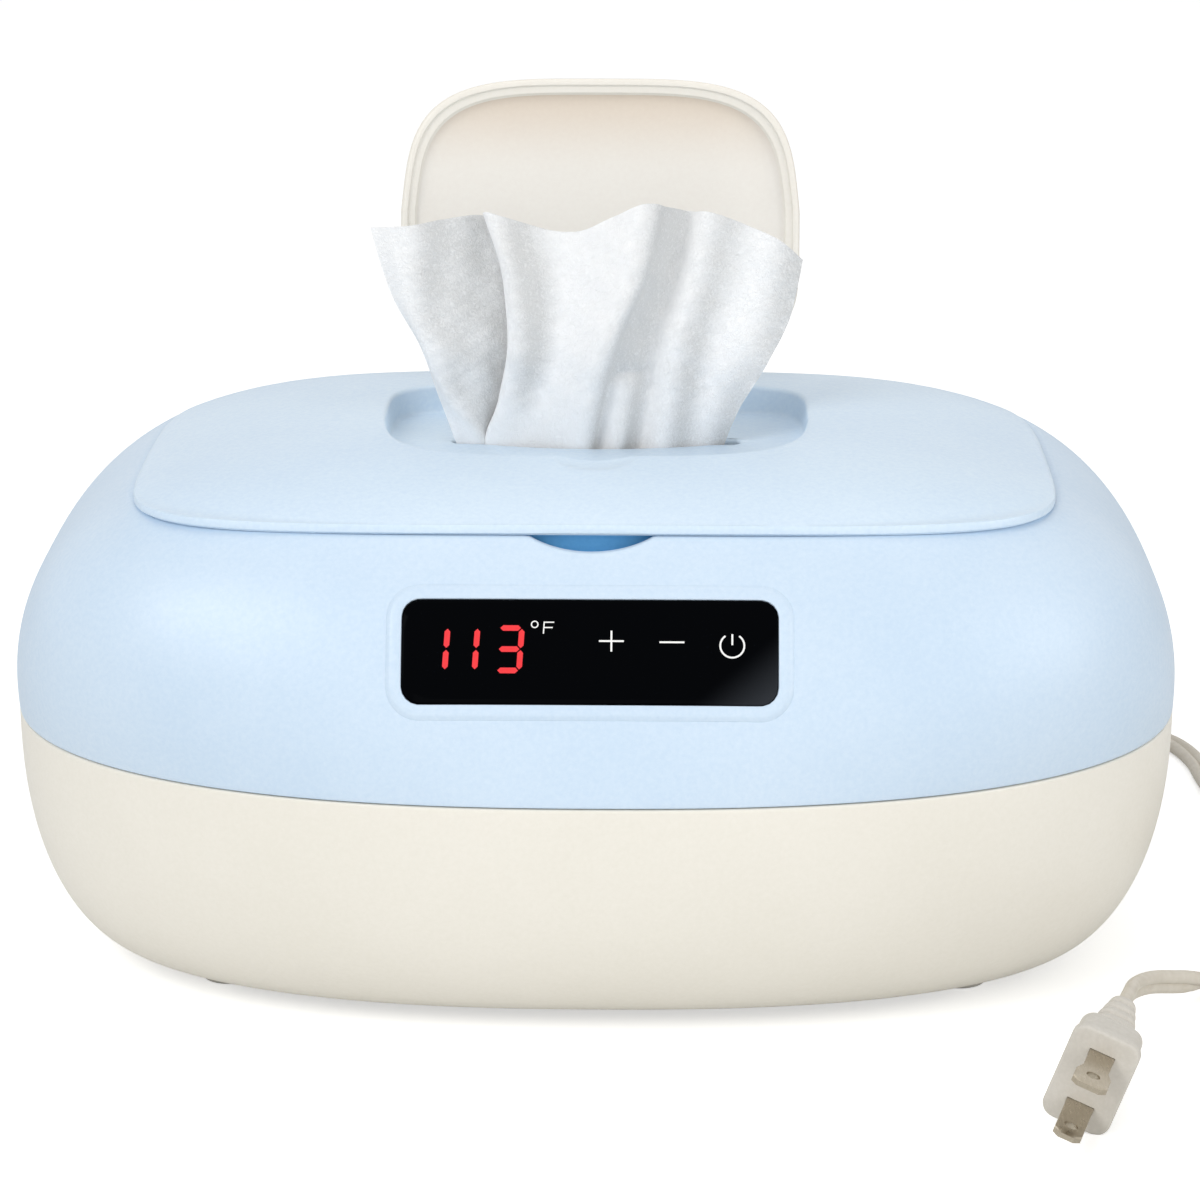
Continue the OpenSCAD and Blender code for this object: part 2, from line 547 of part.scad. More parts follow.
// ---- Dispensing lid, drawn closed and then opened ----
latch_w = 7;                             // catch inside the dispensing lid's front rim
module flip_lid() color("#f0ece3") to_open() {
    flip_shell();
    box(-latch_w/2, latch_w/2, recess_y - flip_l/2 + 3, recess_y - flip_l/2 + 6.4, flip_top - flip_t - 1,
        flip_top - flip_t + 0.2);
}
module flip_shell() difference() {
    union() {
        loft([flip_ring(-2.6, flip_top - flip_rim), flip_ring(-0.8, flip_top - flip_rim),
            flip_ring(-0.2, flip_top - flip_rim + 0.5), flip_ring(0, flip_top - 2),
            flip_ring(-0.3, flip_top - 0.6), flip_ring(-1.2, flip_top)]);
        for (s = [-1, 1]) {
            rod_x(flip_barrel, s*arm_x - arm_w/2, s*arm_x + arm_w/2, flip_ay, flip_az);
            box(s*arm_x - arm_w/2, s*arm_x + arm_w/2, recess_y + flip_l/2 - 4, flip_ay, flip_az - 0.4,
                flip_az + flip_barrel);
        }
    }
    plate(flip_ring(-3.2, 0), flip_top - flip_rim - 1, flip_top - flip_t);
    plate(flip_ring(-1.8, 0), flip_top - flip_rim - 1, flip_top - flip_rim + 1.4);
    rod_x(flip_pin_r + 0.05, -arm_x - arm_w, arm_x + arm_w, flip_ay, flip_az);
}
module flip_lid_pin() color("#b5b7ba") rod_x(flip_pin_r, -arm_x - arm_w/2 - arm_gap - 1, arm_x + arm_w/2
    + arm_gap + 1, flip_ay, flip_az);

// ---- The wipe that stands in the slot ----
wipe_w = 102;                            // width at its top
wipe_h = 58;
wipe_foot = 8;
wipe_t = 3;
function wipe_level(f) = let (z = mix(recess_z - wipe_foot, recess_z + wipe_h, f),
    g = max(0, (z - recess_z)/wipe_h), hw = mix(slot_l/2 - 4.5, wipe_w/2, pow(g, 0.8)),
    t = wipe_t/2*mix(1.6, 1, g)) [for (i = [0:39]) let (a = 360*i/40, u = cos(a), d = spow(sin(a), 0.6))
    [hw*u, wipe_y - 4*g + 3*g*cos(u*400) + t*d, z - 7*g*g*u*u]];
module wipe() color("#f7f7f5") loft([for (k = [0:9]) wipe_level(k/9)], fan=true);

// ---- Cord and plug ----
cord_w = 6;
cord_t = 3.2;
relief_l = 18;                           // length of the strain relief outside the base
module strain_relief() color("#cfcabd") translate([exit_x, exit_y, exit_z]) rotate([-90, 0, 0]) {
    translate([0, 0, -14]) cylinder(r=exit_r + 1.2, h=1.8, $fn=32);
    translate([0, 0, -12.4]) cylinder(r=exit_r - 0.1, h=13.4, $fn=32);
    cylinder(r1=exit_r - 0.1, r2=3.6, h=relief_l, $fn=32);
    for (k = [0:3]) translate([0, 0, 3 + k*4]) cylinder(r=exit_r - 0.1 - 0.3*k, h=1.6, $fn=32);
}
coil_at = [204, 20];
coil_r = 33;
LEAD = [[85, 84.3, 16], [85, 92, 15.6], [86, 100, 13.6], [89, 110, 9.6], [94, 121, 5.4], [101, 132, 2.8],
    [110, 142, 1.8], [121, 149, 1.7], [133, 152, 1.7], [145, 150, 1.7], [154, 144, 1.7], [159, 135, 1.7],
    [162, 122, 1.7], [163, 107, 1.8], [165, 92, 2], [169, 79, 2.4], [176, 68, 2.8], [188, 59, 3]];
PLUG_LEAD = [[188.5, -20.7, 5.2], [176, -22, 3], [166, -26, 2.2], [157, -32, 2], [150, -39, 2.8],
    [143, -46, 4.6], [136, -53, 7.2], [129, -60, 9.8], [124, -68, 11.4], [121.5, -76.5, 12.2],
    [119, -85.4, 12.4]];
function path_dir(p, i) = let (d = p[min(i+1, len(p)-1)] - p[max(i-1, 0)]) d/norm(d);
module flat_cord(p) {
    loft([for (i = [0:len(p)-1]) let (t = path_dir(p, i), s = cross([0, 0, 1], t)/norm(cross([0, 0, 1], t)),
        u = cross(t, s)) [for (j = [0:7]) let (a = 45*j + 22.5)
            p[i] + s*cord_w/2*cos(a) + u*cord_t/2*sin(a)]], fan=true);
}
module power_cord() color("#c9c2b3") flat_cord(LEAD);
module plug_lead() color("#c9c2b3") flat_cord(PLUG_LEAD);
coil_half = 7.4;                         // half of the width of the coil's turns
coil_edge = 0.6;
module cord_coil() color("#c9c2b3") translate([coil_at.x, coil_at.y, 0]) rotate_extrude($fn=48)
    let (i = coil_r - coil_half, o = coil_r + coil_half, e = coil_edge, h = 2*cord_w)
    polygon([[i, e], [i + e, 0], [o - e, 0], [o, e], [o, h - e], [o - e, h], [i + e, h], [i, h - e]]);

plug_at = [108.8, -124.2, 12.4];         // middle of the plug's face
plug_turn = -14.8;
plug_roll = 20;
plug_w = 15.6;                           // the plug's face
plug_h = 23.2;
plug_l = 40;                             // length of the plug with its ribbed neck
neck_at = 17;
neck_ribs = 4;
blade_gap = 12.7;                        // spacing of the blades
blade_l = 17.5;
blade_t = 1.5;
blade_root = 5.9;                        // how deep the blades sit in the plug
module at_plug() { translate(plug_at) rotate([0, 0, plug_turn]) rotate([0, plug_roll, 0]) children(); }
function plug_ring(w, h, y) = [for (i = [0:23]) let (a = 15*i)
    [w/2*spow(cos(a), 0.5), y, -h/2*spow(sin(a), 0.5)]];
// A ring of the neck, which narrows from the body to the cord.
function neck_ring(y, cut=0) = let (f = (y - neck_at)/(plug_l - neck_at))
    plug_ring(mix(12.4, cord_w + 2.6, f) - cut, mix(11.6, cord_t + 3.4, f) - cut, y);
module plug_body() color("#cac6bd") at_plug() {
    pitch = (plug_l - neck_at)/(neck_ribs + 0.5);
    difference() {
        loft(concat(
            [plug_ring(plug_w - 1.8, plug_h - 1.8, 0), plug_ring(plug_w - 0.4, plug_h - 0.4, 0.4),
                plug_ring(plug_w, plug_h, 1), plug_ring(plug_w, plug_h, 3),
                plug_ring(plug_w - 0.6, plug_h - 0.8, 3.4), plug_ring(plug_w - 1.6, plug_h - 4, 3.6),
                plug_ring(plug_w - 0.8, plug_h - 5, 11), plug_ring(plug_w - 1.4, plug_h - 6.4, 14.6),
                plug_ring(plug_w - 2.6, plug_h - 10, neck_at - 0.4)],
            [for (k = [0:neck_ribs-1]) let (y = neck_at + k*pitch)
                each [neck_ring(y), neck_ring(y + pitch*0.55), neck_ring(y + pitch*0.6, 1.6),
                    neck_ring(y + pitch*0.95, 1.6)]],
            [neck_ring(plug_l - pitch/2), neck_ring(plug_l)]));
        for (s = [-1, 1]) box(-blade_neck(s) - 0.05, blade_neck(s) + 0.05, -1, blade_root + 0.1,
            s*blade_gap/2 - blade_t/2 - 0.05, s*blade_gap/2 + blade_t/2 + 0.05);
    }
}
// One blade of the two is wider at its tip.
function blade_neck(s) = s > 0 ? 2.9 : 3.15;
function blade_tip(s) = s > 0 ? 3.95 : 3.15;
// Half of a blade's outline, from its root to its tip.
function blade_side(s) = [[blade_neck(s), blade_root], [blade_neck(s), -blade_l/2],
    [blade_tip(s), -0.66*blade_l], [blade_tip(s), 1.4 - blade_l], [blade_tip(s) - 1.4, -blade_l]];
module plug_blades() color("#a39a8b") at_plug() for (s = [-1, 1])
    translate([0, 0, s*blade_gap/2 - blade_t/2]) linear_extrude(blade_t) difference() {
        polygon(concat(blade_side(s), [for (i = [4:-1:0]) [-blade_side(s)[i].x, blade_side(s)[i].y]]));
        translate([0, 5 - blade_l]) circle(r=1.55, $fn=24);
    }

base_housing();
feet();
housing_screws();
upper_housing();
inner_tub();
heat_plate();
heater_film();
insulation_pad();
thermal_sensor();
thermal_fuse();
control_board();
board_parts();
board_screws();
display_lens();
display_board();
digit_module();
touch_springs();
display_ribbon();
main_lid();
main_lid_liner();
lid_gasket();
main_lid_pins();
flip_lid();
flip_lid_pin();
wipe();
strain_relief();
power_cord();
plug_lead();
cord_coil();
plug_body();
plug_blades();
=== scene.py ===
"""A heated dispenser for moist wipes: a blue housing and lid over a cream base, with its cord."""

import math

import bpy
import numpy as np
from mathutils import Matrix, Vector


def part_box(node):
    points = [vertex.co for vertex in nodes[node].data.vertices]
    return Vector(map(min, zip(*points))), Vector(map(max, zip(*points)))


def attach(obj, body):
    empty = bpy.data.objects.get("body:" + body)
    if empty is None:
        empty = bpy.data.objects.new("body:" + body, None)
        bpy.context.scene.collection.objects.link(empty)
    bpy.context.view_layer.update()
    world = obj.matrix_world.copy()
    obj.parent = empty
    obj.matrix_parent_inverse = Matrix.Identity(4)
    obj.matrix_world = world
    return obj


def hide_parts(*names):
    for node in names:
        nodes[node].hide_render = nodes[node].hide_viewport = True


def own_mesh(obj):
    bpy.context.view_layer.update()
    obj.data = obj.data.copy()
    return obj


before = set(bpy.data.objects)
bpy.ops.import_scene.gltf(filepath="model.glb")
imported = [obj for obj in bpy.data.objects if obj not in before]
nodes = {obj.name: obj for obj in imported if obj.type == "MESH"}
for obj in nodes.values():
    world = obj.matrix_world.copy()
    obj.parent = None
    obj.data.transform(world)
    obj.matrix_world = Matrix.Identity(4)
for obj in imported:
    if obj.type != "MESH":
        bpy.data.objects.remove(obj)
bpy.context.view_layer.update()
mm = 0.001

# ---- Camera and studio ----
# A long lens a metre away, a little above the lid, over a white table in soft light from the left.
# The surroundings are white to the eye and in gloss, and light the object with less than half of that.
TARGET = Vector((0, 0, 60)) * mm
DISTANCE = 1.0
AZIMUTH, ELEVATION = math.radians(1.0), math.radians(17.75)
AIM_UP, AIM_RIGHT = math.radians(1.288), math.radians(0.055)
FOCAL, SENSOR, NEAR = 124.09, 36, 0.05
SHADE_LEVEL, FLOOR_SIZE, FLOOR_GLOW = 0.44, 8, 0.5

camera = bpy.data.objects.new("camera", bpy.data.cameras.new("camera"))
bpy.context.collection.objects.link(camera)
camera.data.sensor_width, camera.data.lens, camera.data.clip_start = SENSOR, FOCAL, NEAR
camera.location = TARGET + DISTANCE * Vector((
    math.cos(ELEVATION) * math.sin(AZIMUTH), -math.cos(ELEVATION) * math.cos(AZIMUTH), math.sin(ELEVATION)))
camera.rotation_euler = (math.pi / 2 - ELEVATION + AIM_UP, 0, AZIMUTH - AIM_RIGHT)
bpy.context.scene.camera = camera
bpy.context.scene.view_settings.view_transform = "Standard"


def srgb(code):
    """A hex colour as linear RGBA."""
    parts = [int(code[i:i + 2], 16) / 255 for i in (1, 3, 5)]
    return (*[p / 12.92 if p <= 0.04045 else ((p + 0.055) / 1.055) ** 2.4 for p in parts], 1)


def add(tree, kind, inputs=None, **settings):
    """One more node: its settings, and its inputs, each a value or the socket that feeds it."""
    node = tree.nodes.new(kind)
    for name, value in settings.items():
        setattr(node, name, value)
    for name, value in (inputs or {}).items():
        if isinstance(value, bpy.types.NodeSocket):
            tree.links.new(value, node.inputs[name])
        else:
            node.inputs[name].default_value = value
    return node


def new_surface(name):
    """A new material and its node tree, still empty."""
    made = bpy.data.materials.new(name)
    made.use_nodes = True
    made.node_tree.nodes.clear()
    return made, made.node_tree


# Large square lamps that face the object: place and side in metres, power in watts.
for name, place, size, power in (("key_lamp", (-0.95, -1.15, 1.15), 0.9, 11.6),
                                 ("fill_lamp", (1.25, -0.8, 0.55), 1.0, 6.4),
                                 ("top_lamp", (-0.1, 0.25, 1.6), 1.3, 5.2),
                                 ("low_lamp", (0.1, -1.5, 0.12), 0.9, 3.4)):
    lamp = bpy.data.objects.new(name, bpy.data.lights.new(name, "AREA"))
    bpy.context.collection.objects.link(lamp)
    lamp.data.shape, lamp.data.size, lamp.data.energy = "SQUARE", size, power
    lamp.location = place
    lamp.rotation_euler = (TARGET - Vector(place)).to_track_quat("-Z", "Y").to_euler()

world = bpy.context.scene.world or bpy.data.worlds.new("studio")
bpy.context.scene.world = world
world.use_nodes = True
sky = world.node_tree
sky.nodes.clear()
path = add(sky, "ShaderNodeLightPath")
seen = add(sky, "ShaderNodeMath", {0: path.outputs["Is Camera Ray"], 1: path.outputs["Is Glossy Ray"]},
           operation="MAXIMUM")
seen = add(sky, "ShaderNodeMath", {0: seen.outputs[0], 1: path.outputs["Is Transmission Ray"]},
           operation="MAXIMUM")
level = add(sky, "ShaderNodeMapRange", {"Value": seen.outputs[0], "To Min": SHADE_LEVEL, "To Max": 1.0})
light = add(sky, "ShaderNodeBackground", {"Color": srgb("#ffffff"), "Strength": level.outputs[0]})
add(sky, "ShaderNodeOutputWorld", {"Surface": light.outputs[0]})

# White paper: matt, and a little brighter to the camera alone, so that the ground stays white.
bpy.ops.mesh.primitive_plane_add(size=FLOOR_SIZE)
floor = bpy.context.object
floor.name = "floor"
paper, tree = new_surface("white_paper")
lit = add(tree, "ShaderNodeBsdfDiffuse", {"Color": srgb("#f4f4f3")})
path = add(tree, "ShaderNodeLightPath")
glow = add(tree, "ShaderNodeEmission", {"Color": srgb("#ffffff"), "Strength": FLOOR_GLOW})
both = add(tree, "ShaderNodeAddShader", {0: lit.outputs[0], 1: glow.outputs[0]})
picked = add(tree, "ShaderNodeMixShader",
             {0: path.outputs["Is Camera Ray"], 1: lit.outputs[0], 2: both.outputs[0]})
add(tree, "ShaderNodeOutputMaterial", {"Surface": picked.outputs[0]})
floor.data.materials.append(paper)

# ---- Mains cord ----
# A flat twin lead of 6 by 3.2 mm: two stranded cores side by side in one soft vinyl skin, with a web
# between them. It leaves the base at the back, lies round the right side, and the length that isn't
# needed is wound on edge into a coil beyond the view, held by a wire tie. The plug lies in front.
CORE_R = 1.6 * mm
CORE_APART = 2.8 * mm
LEAD = [(85, 84.3, 16), (85, 92, 15.6), (86, 100, 13.6), (89, 110, 9.6), (94, 121, 5.4), (101, 132, 2.8),
        (110, 142, 1.8), (121, 149, 1.7), (133, 152, 1.7), (145, 150, 1.7), (154, 144, 1.7), (159, 135, 1.7),
        (162, 122, 1.7), (163, 107, 1.8), (165, 92, 2), (169, 79, 2.4), (176, 68, 2.8), (188, 59, 3)]
PLUG_LEAD = [(188.5, -20.7, 5.2), (176, -22, 3), (166, -26, 2.2), (157, -32, 2), (150, -39, 2.8),
             (143, -46, 4.6), (136, -53, 7.2), (129, -60, 9.8), (124, -68, 11.4), (121.5, -76.5, 12.2),
             (119, -85.4, 12.4)]
INTO_COIL, OUT_OF_COIL = (196, 58.6, 3), (196, -19.6, 8.4)
# The coil's middle, each turn's radius and height, and the share of a turn in which the cord
# changes track.
COIL_AT = Vector((204, 20, 0))
TRACKS = [(39, 3), (33, 3), (27, 3), (27, 9), (33, 9), (39, 9)]
TURN_STEPS, TURNS, TRACK_SHIFT = 40, 5.5, 0.3
# Lengths in metres over which the flat cord turns on edge and back at the coil, and up at the plug,
# where it makes a share of a quarter turn.
EDGE_IN, EDGE_OUT, PLUG_TWIST_FROM, PLUG_TWIST_OVER, PLUG_TWIST = 0.03, 0.045, 0.056, 0.018, 0.78
CORE_STEPS = 12


def ease(t):
    """A share from 0 to 1 that starts and ends softly."""
    t = min(1.0, max(0.0, t))
    return t * t * (3 - 2 * t)


def through(points, steps):
    """A smooth line through points, in short steps."""
    p = [Vector(points[0]) * 2 - Vector(points[1]), *map(Vector, points)]
    p.append(p[-1] * 2 - p[-2])
    line = []
    for a, b, c, d in zip(p, p[1:], p[2:], p[3:]):
        for k in range(steps):
            t = k / steps
            line.append(0.5 * (2 * b + (c - a) * t + (2 * a - 5 * b + 4 * c - d) * t * t
                               + (3 * b - a - 3 * c + d) * t ** 3))
    return [*line, Vector(points[-1])]


def coil_point(turn):
    """The cord's middle in the coil. It changes track just after half of each turn."""
    track = min(int(turn), len(TRACKS) - 1)
    share = ease((turn - track - 0.5) / TRACK_SHIFT)
    here, after = TRACKS[track], TRACKS[min(track + 1, len(TRACKS) - 1)]
    radius = here[0] + (after[0] - here[0]) * share
    angle = math.pi / 2 - 2 * math.pi * turn
    return COIL_AT + Vector((radius * math.cos(angle), radius * math.sin(angle),
                             here[1] + (after[1] - here[1]) * share))


lead_line = through(LEAD, 4)
coil_line = [coil_point(k / TURN_STEPS) for k in range(int(TURNS * TURN_STEPS) + 1)]
plug_line = through(PLUG_LEAD, 4)
cord_line = lead_line + through([LEAD[-1], INTO_COIL, coil_line[0]], 3)[1:-1] + coil_line \
    + through([coil_line[-1], OUT_OF_COIL, PLUG_LEAD[0]], 3)[1:-1] + plug_line
cord_line = [p * mm for p in cord_line]


def along(line):
    """Distance from the start to each point."""
    steps = [0] + [(b - a).length for a, b in zip(line, line[1:])]
    return list(np.cumsum(steps))


cord_run = along(cord_line)
coil_start = cord_run[len(lead_line) + 2]
coil_end = cord_run[-len(plug_line) - 2]


def skin(name, rings, smooth=30):
    """A grid with one row of points for each ring, bent round onto the rings and merged at its seam."""
    rows, columns = len(rings), len(rings[0])
    bpy.ops.object.select_all(action="DESELECT")
    bpy.ops.mesh.primitive_grid_add(x_subdivisions=columns, y_subdivisions=rows - 1, size=1)
    piece = bpy.context.object
    piece.name = name
    points = [np.vstack([np.asarray(r, float), np.asarray(r[:1], float)]) for r in rings]
    piece.data.vertices.foreach_set("co", np.concatenate(points).ravel())
    bpy.ops.object.mode_set(mode="EDIT")
    bpy.ops.mesh.select_all(action="SELECT")
    bpy.ops.mesh.remove_doubles(threshold=2e-6)
    bpy.ops.mesh.normals_make_consistent(inside=False)
    bpy.ops.object.mode_set(mode="OBJECT")
    bpy.ops.object.shade_smooth_by_angle(angle=math.radians(smooth))
    return piece


def cord_section(k):
    """The two cores' outline round point k: flat on the table, and turned on edge in the coil."""
    ahead = (cord_line[min(k + 1, len(cord_line) - 1)] - cord_line[max(k - 1, 0)]).normalized()
    across = Vector((0, 0, 1)).cross(ahead).normalized()
    run = cord_run[k]
    turn = ease((run - coil_start + EDGE_IN) / EDGE_IN) * ease((coil_end + EDGE_OUT - run) / EDGE_OUT)
    turn += PLUG_TWIST * ease((run - cord_run[-1] + PLUG_TWIST_FROM) / PLUG_TWIST_OVER)
    across = Matrix.Rotation(math.pi / 2 * turn, 3, ahead) @ across
    up = ahead.cross(across)
    notch = math.degrees(math.acos(-CORE_APART / 2 / CORE_R))
    ring = []
    for side in (1, -1):
        for step in range(CORE_STEPS + 1):
            a = math.radians(-notch + 2 * notch * step / CORE_STEPS)
            ring.append(cord_line[k] + side * (across * (CORE_APART / 2 + CORE_R * math.cos(a))
                                               + up * CORE_R * math.sin(a)))
    return ring


# The numbers of a Mix node's two colour inputs.
FIRST, SECOND = 6, 7


def plastic(name, colour, second, grain=1.1, depth=0.012, rough=(0.36, 0.44), cloud=45):
    """Moulded plastic: a colour that drifts a little over some centimetres, and a fine grain that
    the mould leaves, both in mm. The grain is drawn coarser than the real 0.2 mm so that it shows."""
    made, tree = new_surface(name)
    place = add(tree, "ShaderNodeTexCoord")
    drift = add(tree, "ShaderNodeTexNoise", {"Vector": place.outputs["Object"], "Scale": 1000 / cloud,
                                             "Detail": 3.0, "Roughness": 0.55})
    fine = add(tree, "ShaderNodeTexNoise", {"Vector": place.outputs["Object"], "Scale": 1000 / grain,
                                            "Detail": 2.0, "Roughness": 0.6})
    cloudy = add(tree, "ShaderNodeMath", {0: drift.outputs["Fac"], 1: fine.outputs["Fac"]}, operation="ADD")
    cloudy = add(tree, "ShaderNodeMapRange", {"Value": cloudy.outputs[0], "From Min": 0.7, "From Max": 1.3})
    tint = add(tree, "ShaderNodeMix",
               {"Factor": cloudy.outputs[0], FIRST: srgb(colour), SECOND: srgb(second)}, data_type="RGBA")
    gloss = add(tree, "ShaderNodeMapRange", {"Value": fine.outputs["Fac"], "From Min": 0.3, "From Max": 0.7,
                                             "To Min": rough[0], "To Max": rough[1]})
    bump = add(tree, "ShaderNodeBump",
               {"Height": fine.outputs["Fac"], "Strength": 0.5, "Distance": depth * mm})
    shader = add(tree, "ShaderNodeBsdfPrincipled", {"Base Color": tint.outputs[2], "IOR": 1.5,
                                                    "Roughness": gloss.outputs[0], "Normal": bump.outputs[0]})
    add(tree, "ShaderNodeOutputMaterial", {"Surface": shader.outputs[0]})
    return made


def finish(piece, material, body, slot, *replaced):
    """Gives a piece its finish, the body that it moves with, and the nodes that it stands for."""
    piece.data.materials.clear()
    piece.data.materials.append(material)
    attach(piece, body)
    if replaced:
        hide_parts(*replaced)
    return piece


# Plasticised PVC: a warm grey white, softly glossy, with the faint waves of the extruder.
cord_vinyl = plastic("extruded_vinyl", "#d6cfc2", "#cbc3b4", grain=2.2, depth=0.03, rough=(0.38, 0.5),
                     cloud=14)
cord = skin("cord", [cord_section(k) for k in range(len(cord_line))], smooth=50)
finish(cord, cord_vinyl, "base", "cord_vinyl", "power_cord", "plug_lead", "cord_coil")

# The tie: a paper-thin steel wire in a flat vinyl ribbon, wrapped once round the turns.
TIE_ANGLE, TIE_W, TIE_STEPS = math.radians(150), 4.0, 40
# The bundle of turns inside the tie: its middle (from the coil's middle, and up), its half sizes and
# how square it is.
BUNDLE_R, BUNDLE_Z, BUNDLE_HALF, BUNDLE_SQUARE = 33, 6.35, (7.9, 5.6), 0.45
tie_rings = []
for i in range(TIE_STEPS):
    a = 2 * math.pi * i / TIE_STEPS
    out = Vector((math.cos(a), math.sin(a)))
    bundle = [half * math.copysign(abs(way) ** BUNDLE_SQUARE, way) for half, way in zip(BUNDLE_HALF, out)]
    ring = []
    for half, wide in ((-0.3, -1), (0.3, -1), (0.35, 0), (0.3, 1), (-0.3, 1), (-0.35, 0)):
        radial, height = BUNDLE_R + bundle[0] + half * out.x, BUNDLE_Z + bundle[1] + half * out.y
        angle = TIE_ANGLE + wide * TIE_W / 2 / radial
        ring.append((COIL_AT + Vector((radial * math.cos(angle), radial * math.sin(angle), height))) * mm)
    tie_rings.append(ring)
cord_tie = skin("cord_tie", [*tie_rings, tie_rings[0]], smooth=40)
# Thin vinyl ribbon: paler and smoother than the cord.
tie_vinyl = plastic("tie_ribbon_vinyl", "#e8e6e0", "#dedbd3", grain=1.2, depth=0.01, rough=(0.4, 0.5),
                    cloud=30)
finish(cord_tie, tie_vinyl, "base", "cord_vinyl")


def shell(name, rings, smooth=35):
    """A skin over rings that are in mm."""
    return skin(name, [np.asarray(r) * mm for r in rings], smooth)


def apply_all(piece):
    """Makes the piece's modifiers part of its mesh."""
    bpy.ops.object.select_all(action="DESELECT")
    piece.select_set(True)
    bpy.context.view_layer.objects.active = piece
    for modifier in list(piece.modifiers):
        bpy.ops.object.modifier_apply(modifier=modifier.name)


def cut_away(piece, tools, smooth=35):
    """Takes the tools' shapes out of a piece."""
    for tool in tools:
        modifier = piece.modifiers.new("cut", "BOOLEAN")
        modifier.operation, modifier.solver, modifier.object = "DIFFERENCE", "EXACT", tool
        apply_all(piece)
        bpy.data.objects.remove(tool)
    bpy.ops.object.shade_smooth_by_angle(angle=math.radians(smooth))
    return piece


def join(pieces, name):
    """Makes several pieces one, under a name."""
    bpy.ops.object.select_all(action="DESELECT")
    for piece in pieces:
        piece.select_set(True)
    bpy.context.view_layer.objects.active = pieces[0]
    bpy.ops.object.join()
    pieces[0].name = name
    return pieces[0]


def turned(name, profile, place, matrix=None, sides=48, smooth=35):
    """A profile of (radius, height) turned about its axis, which stands at place."""
    a = np.linspace(0, 2 * math.pi, sides, endpoint=False)
    rings = [np.column_stack([r * np.cos(a), r * np.sin(a), np.full(sides, h)]) for r, h in profile]
    if matrix is not None:
        rings = [ring @ np.array(matrix).T for ring in rings]
    return shell(name, [ring + np.array(place) for ring in rings], smooth)


def block(name, low, high, radius=0.0, segments=3):
    """A box between two corners with its edges rounded."""
    bpy.ops.object.select_all(action="DESELECT")
    bpy.ops.mesh.primitive_cube_add(size=1)
    piece = bpy.context.object
    piece.name = name
    low, high = np.array(low, float) * mm, np.array(high, float) * mm
    piece.scale = tuple(high - low)
    piece.location = tuple((high + low) / 2)
    bpy.ops.object.transform_apply(location=True, rotation=True, scale=True)
    if radius:
        bpy.ops.object.mode_set(mode="EDIT")
        bpy.ops.mesh.select_all(action="SELECT")
        bpy.ops.mesh.bevel(offset=radius * mm, segments=segments, affect="EDGES")
        bpy.ops.object.mode_set(mode="OBJECT")
    return piece


def metal(name, colour, second, rough=(0.25, 0.4), along=(1, 1, 1), line=0.3, depth=0.01):
    """A metal surface with fine marks, in mm; along stretches them the way that it was worked."""
    made, tree = new_surface(name)
    place = add(tree, "ShaderNodeTexCoord")
    spread = add(tree, "ShaderNodeMapping", {"Vector": place.outputs["Object"], "Scale": along})
    marks = add(tree, "ShaderNodeTexNoise",
                {"Vector": spread.outputs[0], "Scale": 1000 / line, "Detail": 3.0})
    tint = add(tree, "ShaderNodeMix",
               {"Factor": marks.outputs["Fac"], FIRST: srgb(colour), SECOND: srgb(second)}, data_type="RGBA")
    gloss = add(tree, "ShaderNodeMapRange", {"Value": marks.outputs["Fac"], "To Min": rough[0],
                                             "To Max": rough[1]})
    bump = add(tree, "ShaderNodeBump",
               {"Height": marks.outputs["Fac"], "Strength": 0.4, "Distance": depth * mm})
    shader = add(tree, "ShaderNodeBsdfPrincipled", {"Base Color": tint.outputs[2], "Metallic": 1.0,
                                                    "Roughness": gloss.outputs[0], "Normal": bump.outputs[0]})
    add(tree, "ShaderNodeOutputMaterial", {"Surface": shader.outputs[0]})
    return made


# The plug: one block of soft vinyl moulded round the cord's end, with a lip round its face and a ribbed
# neck that bends. Its two blades are flat and one is wider, so it fits one way.
PLUG_AT, PLUG_TURN, PLUG_ROLL = Vector((108.8, -124.2, 12.4)), math.radians(-14.8), math.radians(20)
PLUG_W, PLUG_H, PLUG_L, NECK_AT, NECK_RIBS = 15.6, 23.2, 40, 17, 4
BLADE_APART, BLADE_L, BLADE_T, BLADE_ROOT = 12.7, 17.5, 1.5, 5.9
NECK_FROM, NECK_TO, NECK_R = (11.6, 13.0), (6.2, 8.8), 2.6
SLOT_HALF, POLAR_LESS, BLADE_PLAY = 3.2, 0.25, 0.05
rib_pitch = (PLUG_L - NECK_AT) / (NECK_RIBS + 0.5)
plug_place = Matrix.Translation(PLUG_AT * mm) @ Matrix.Rotation(PLUG_TURN, 4, "Z") \
    @ Matrix.Rotation(PLUG_ROLL, 4, "Y")


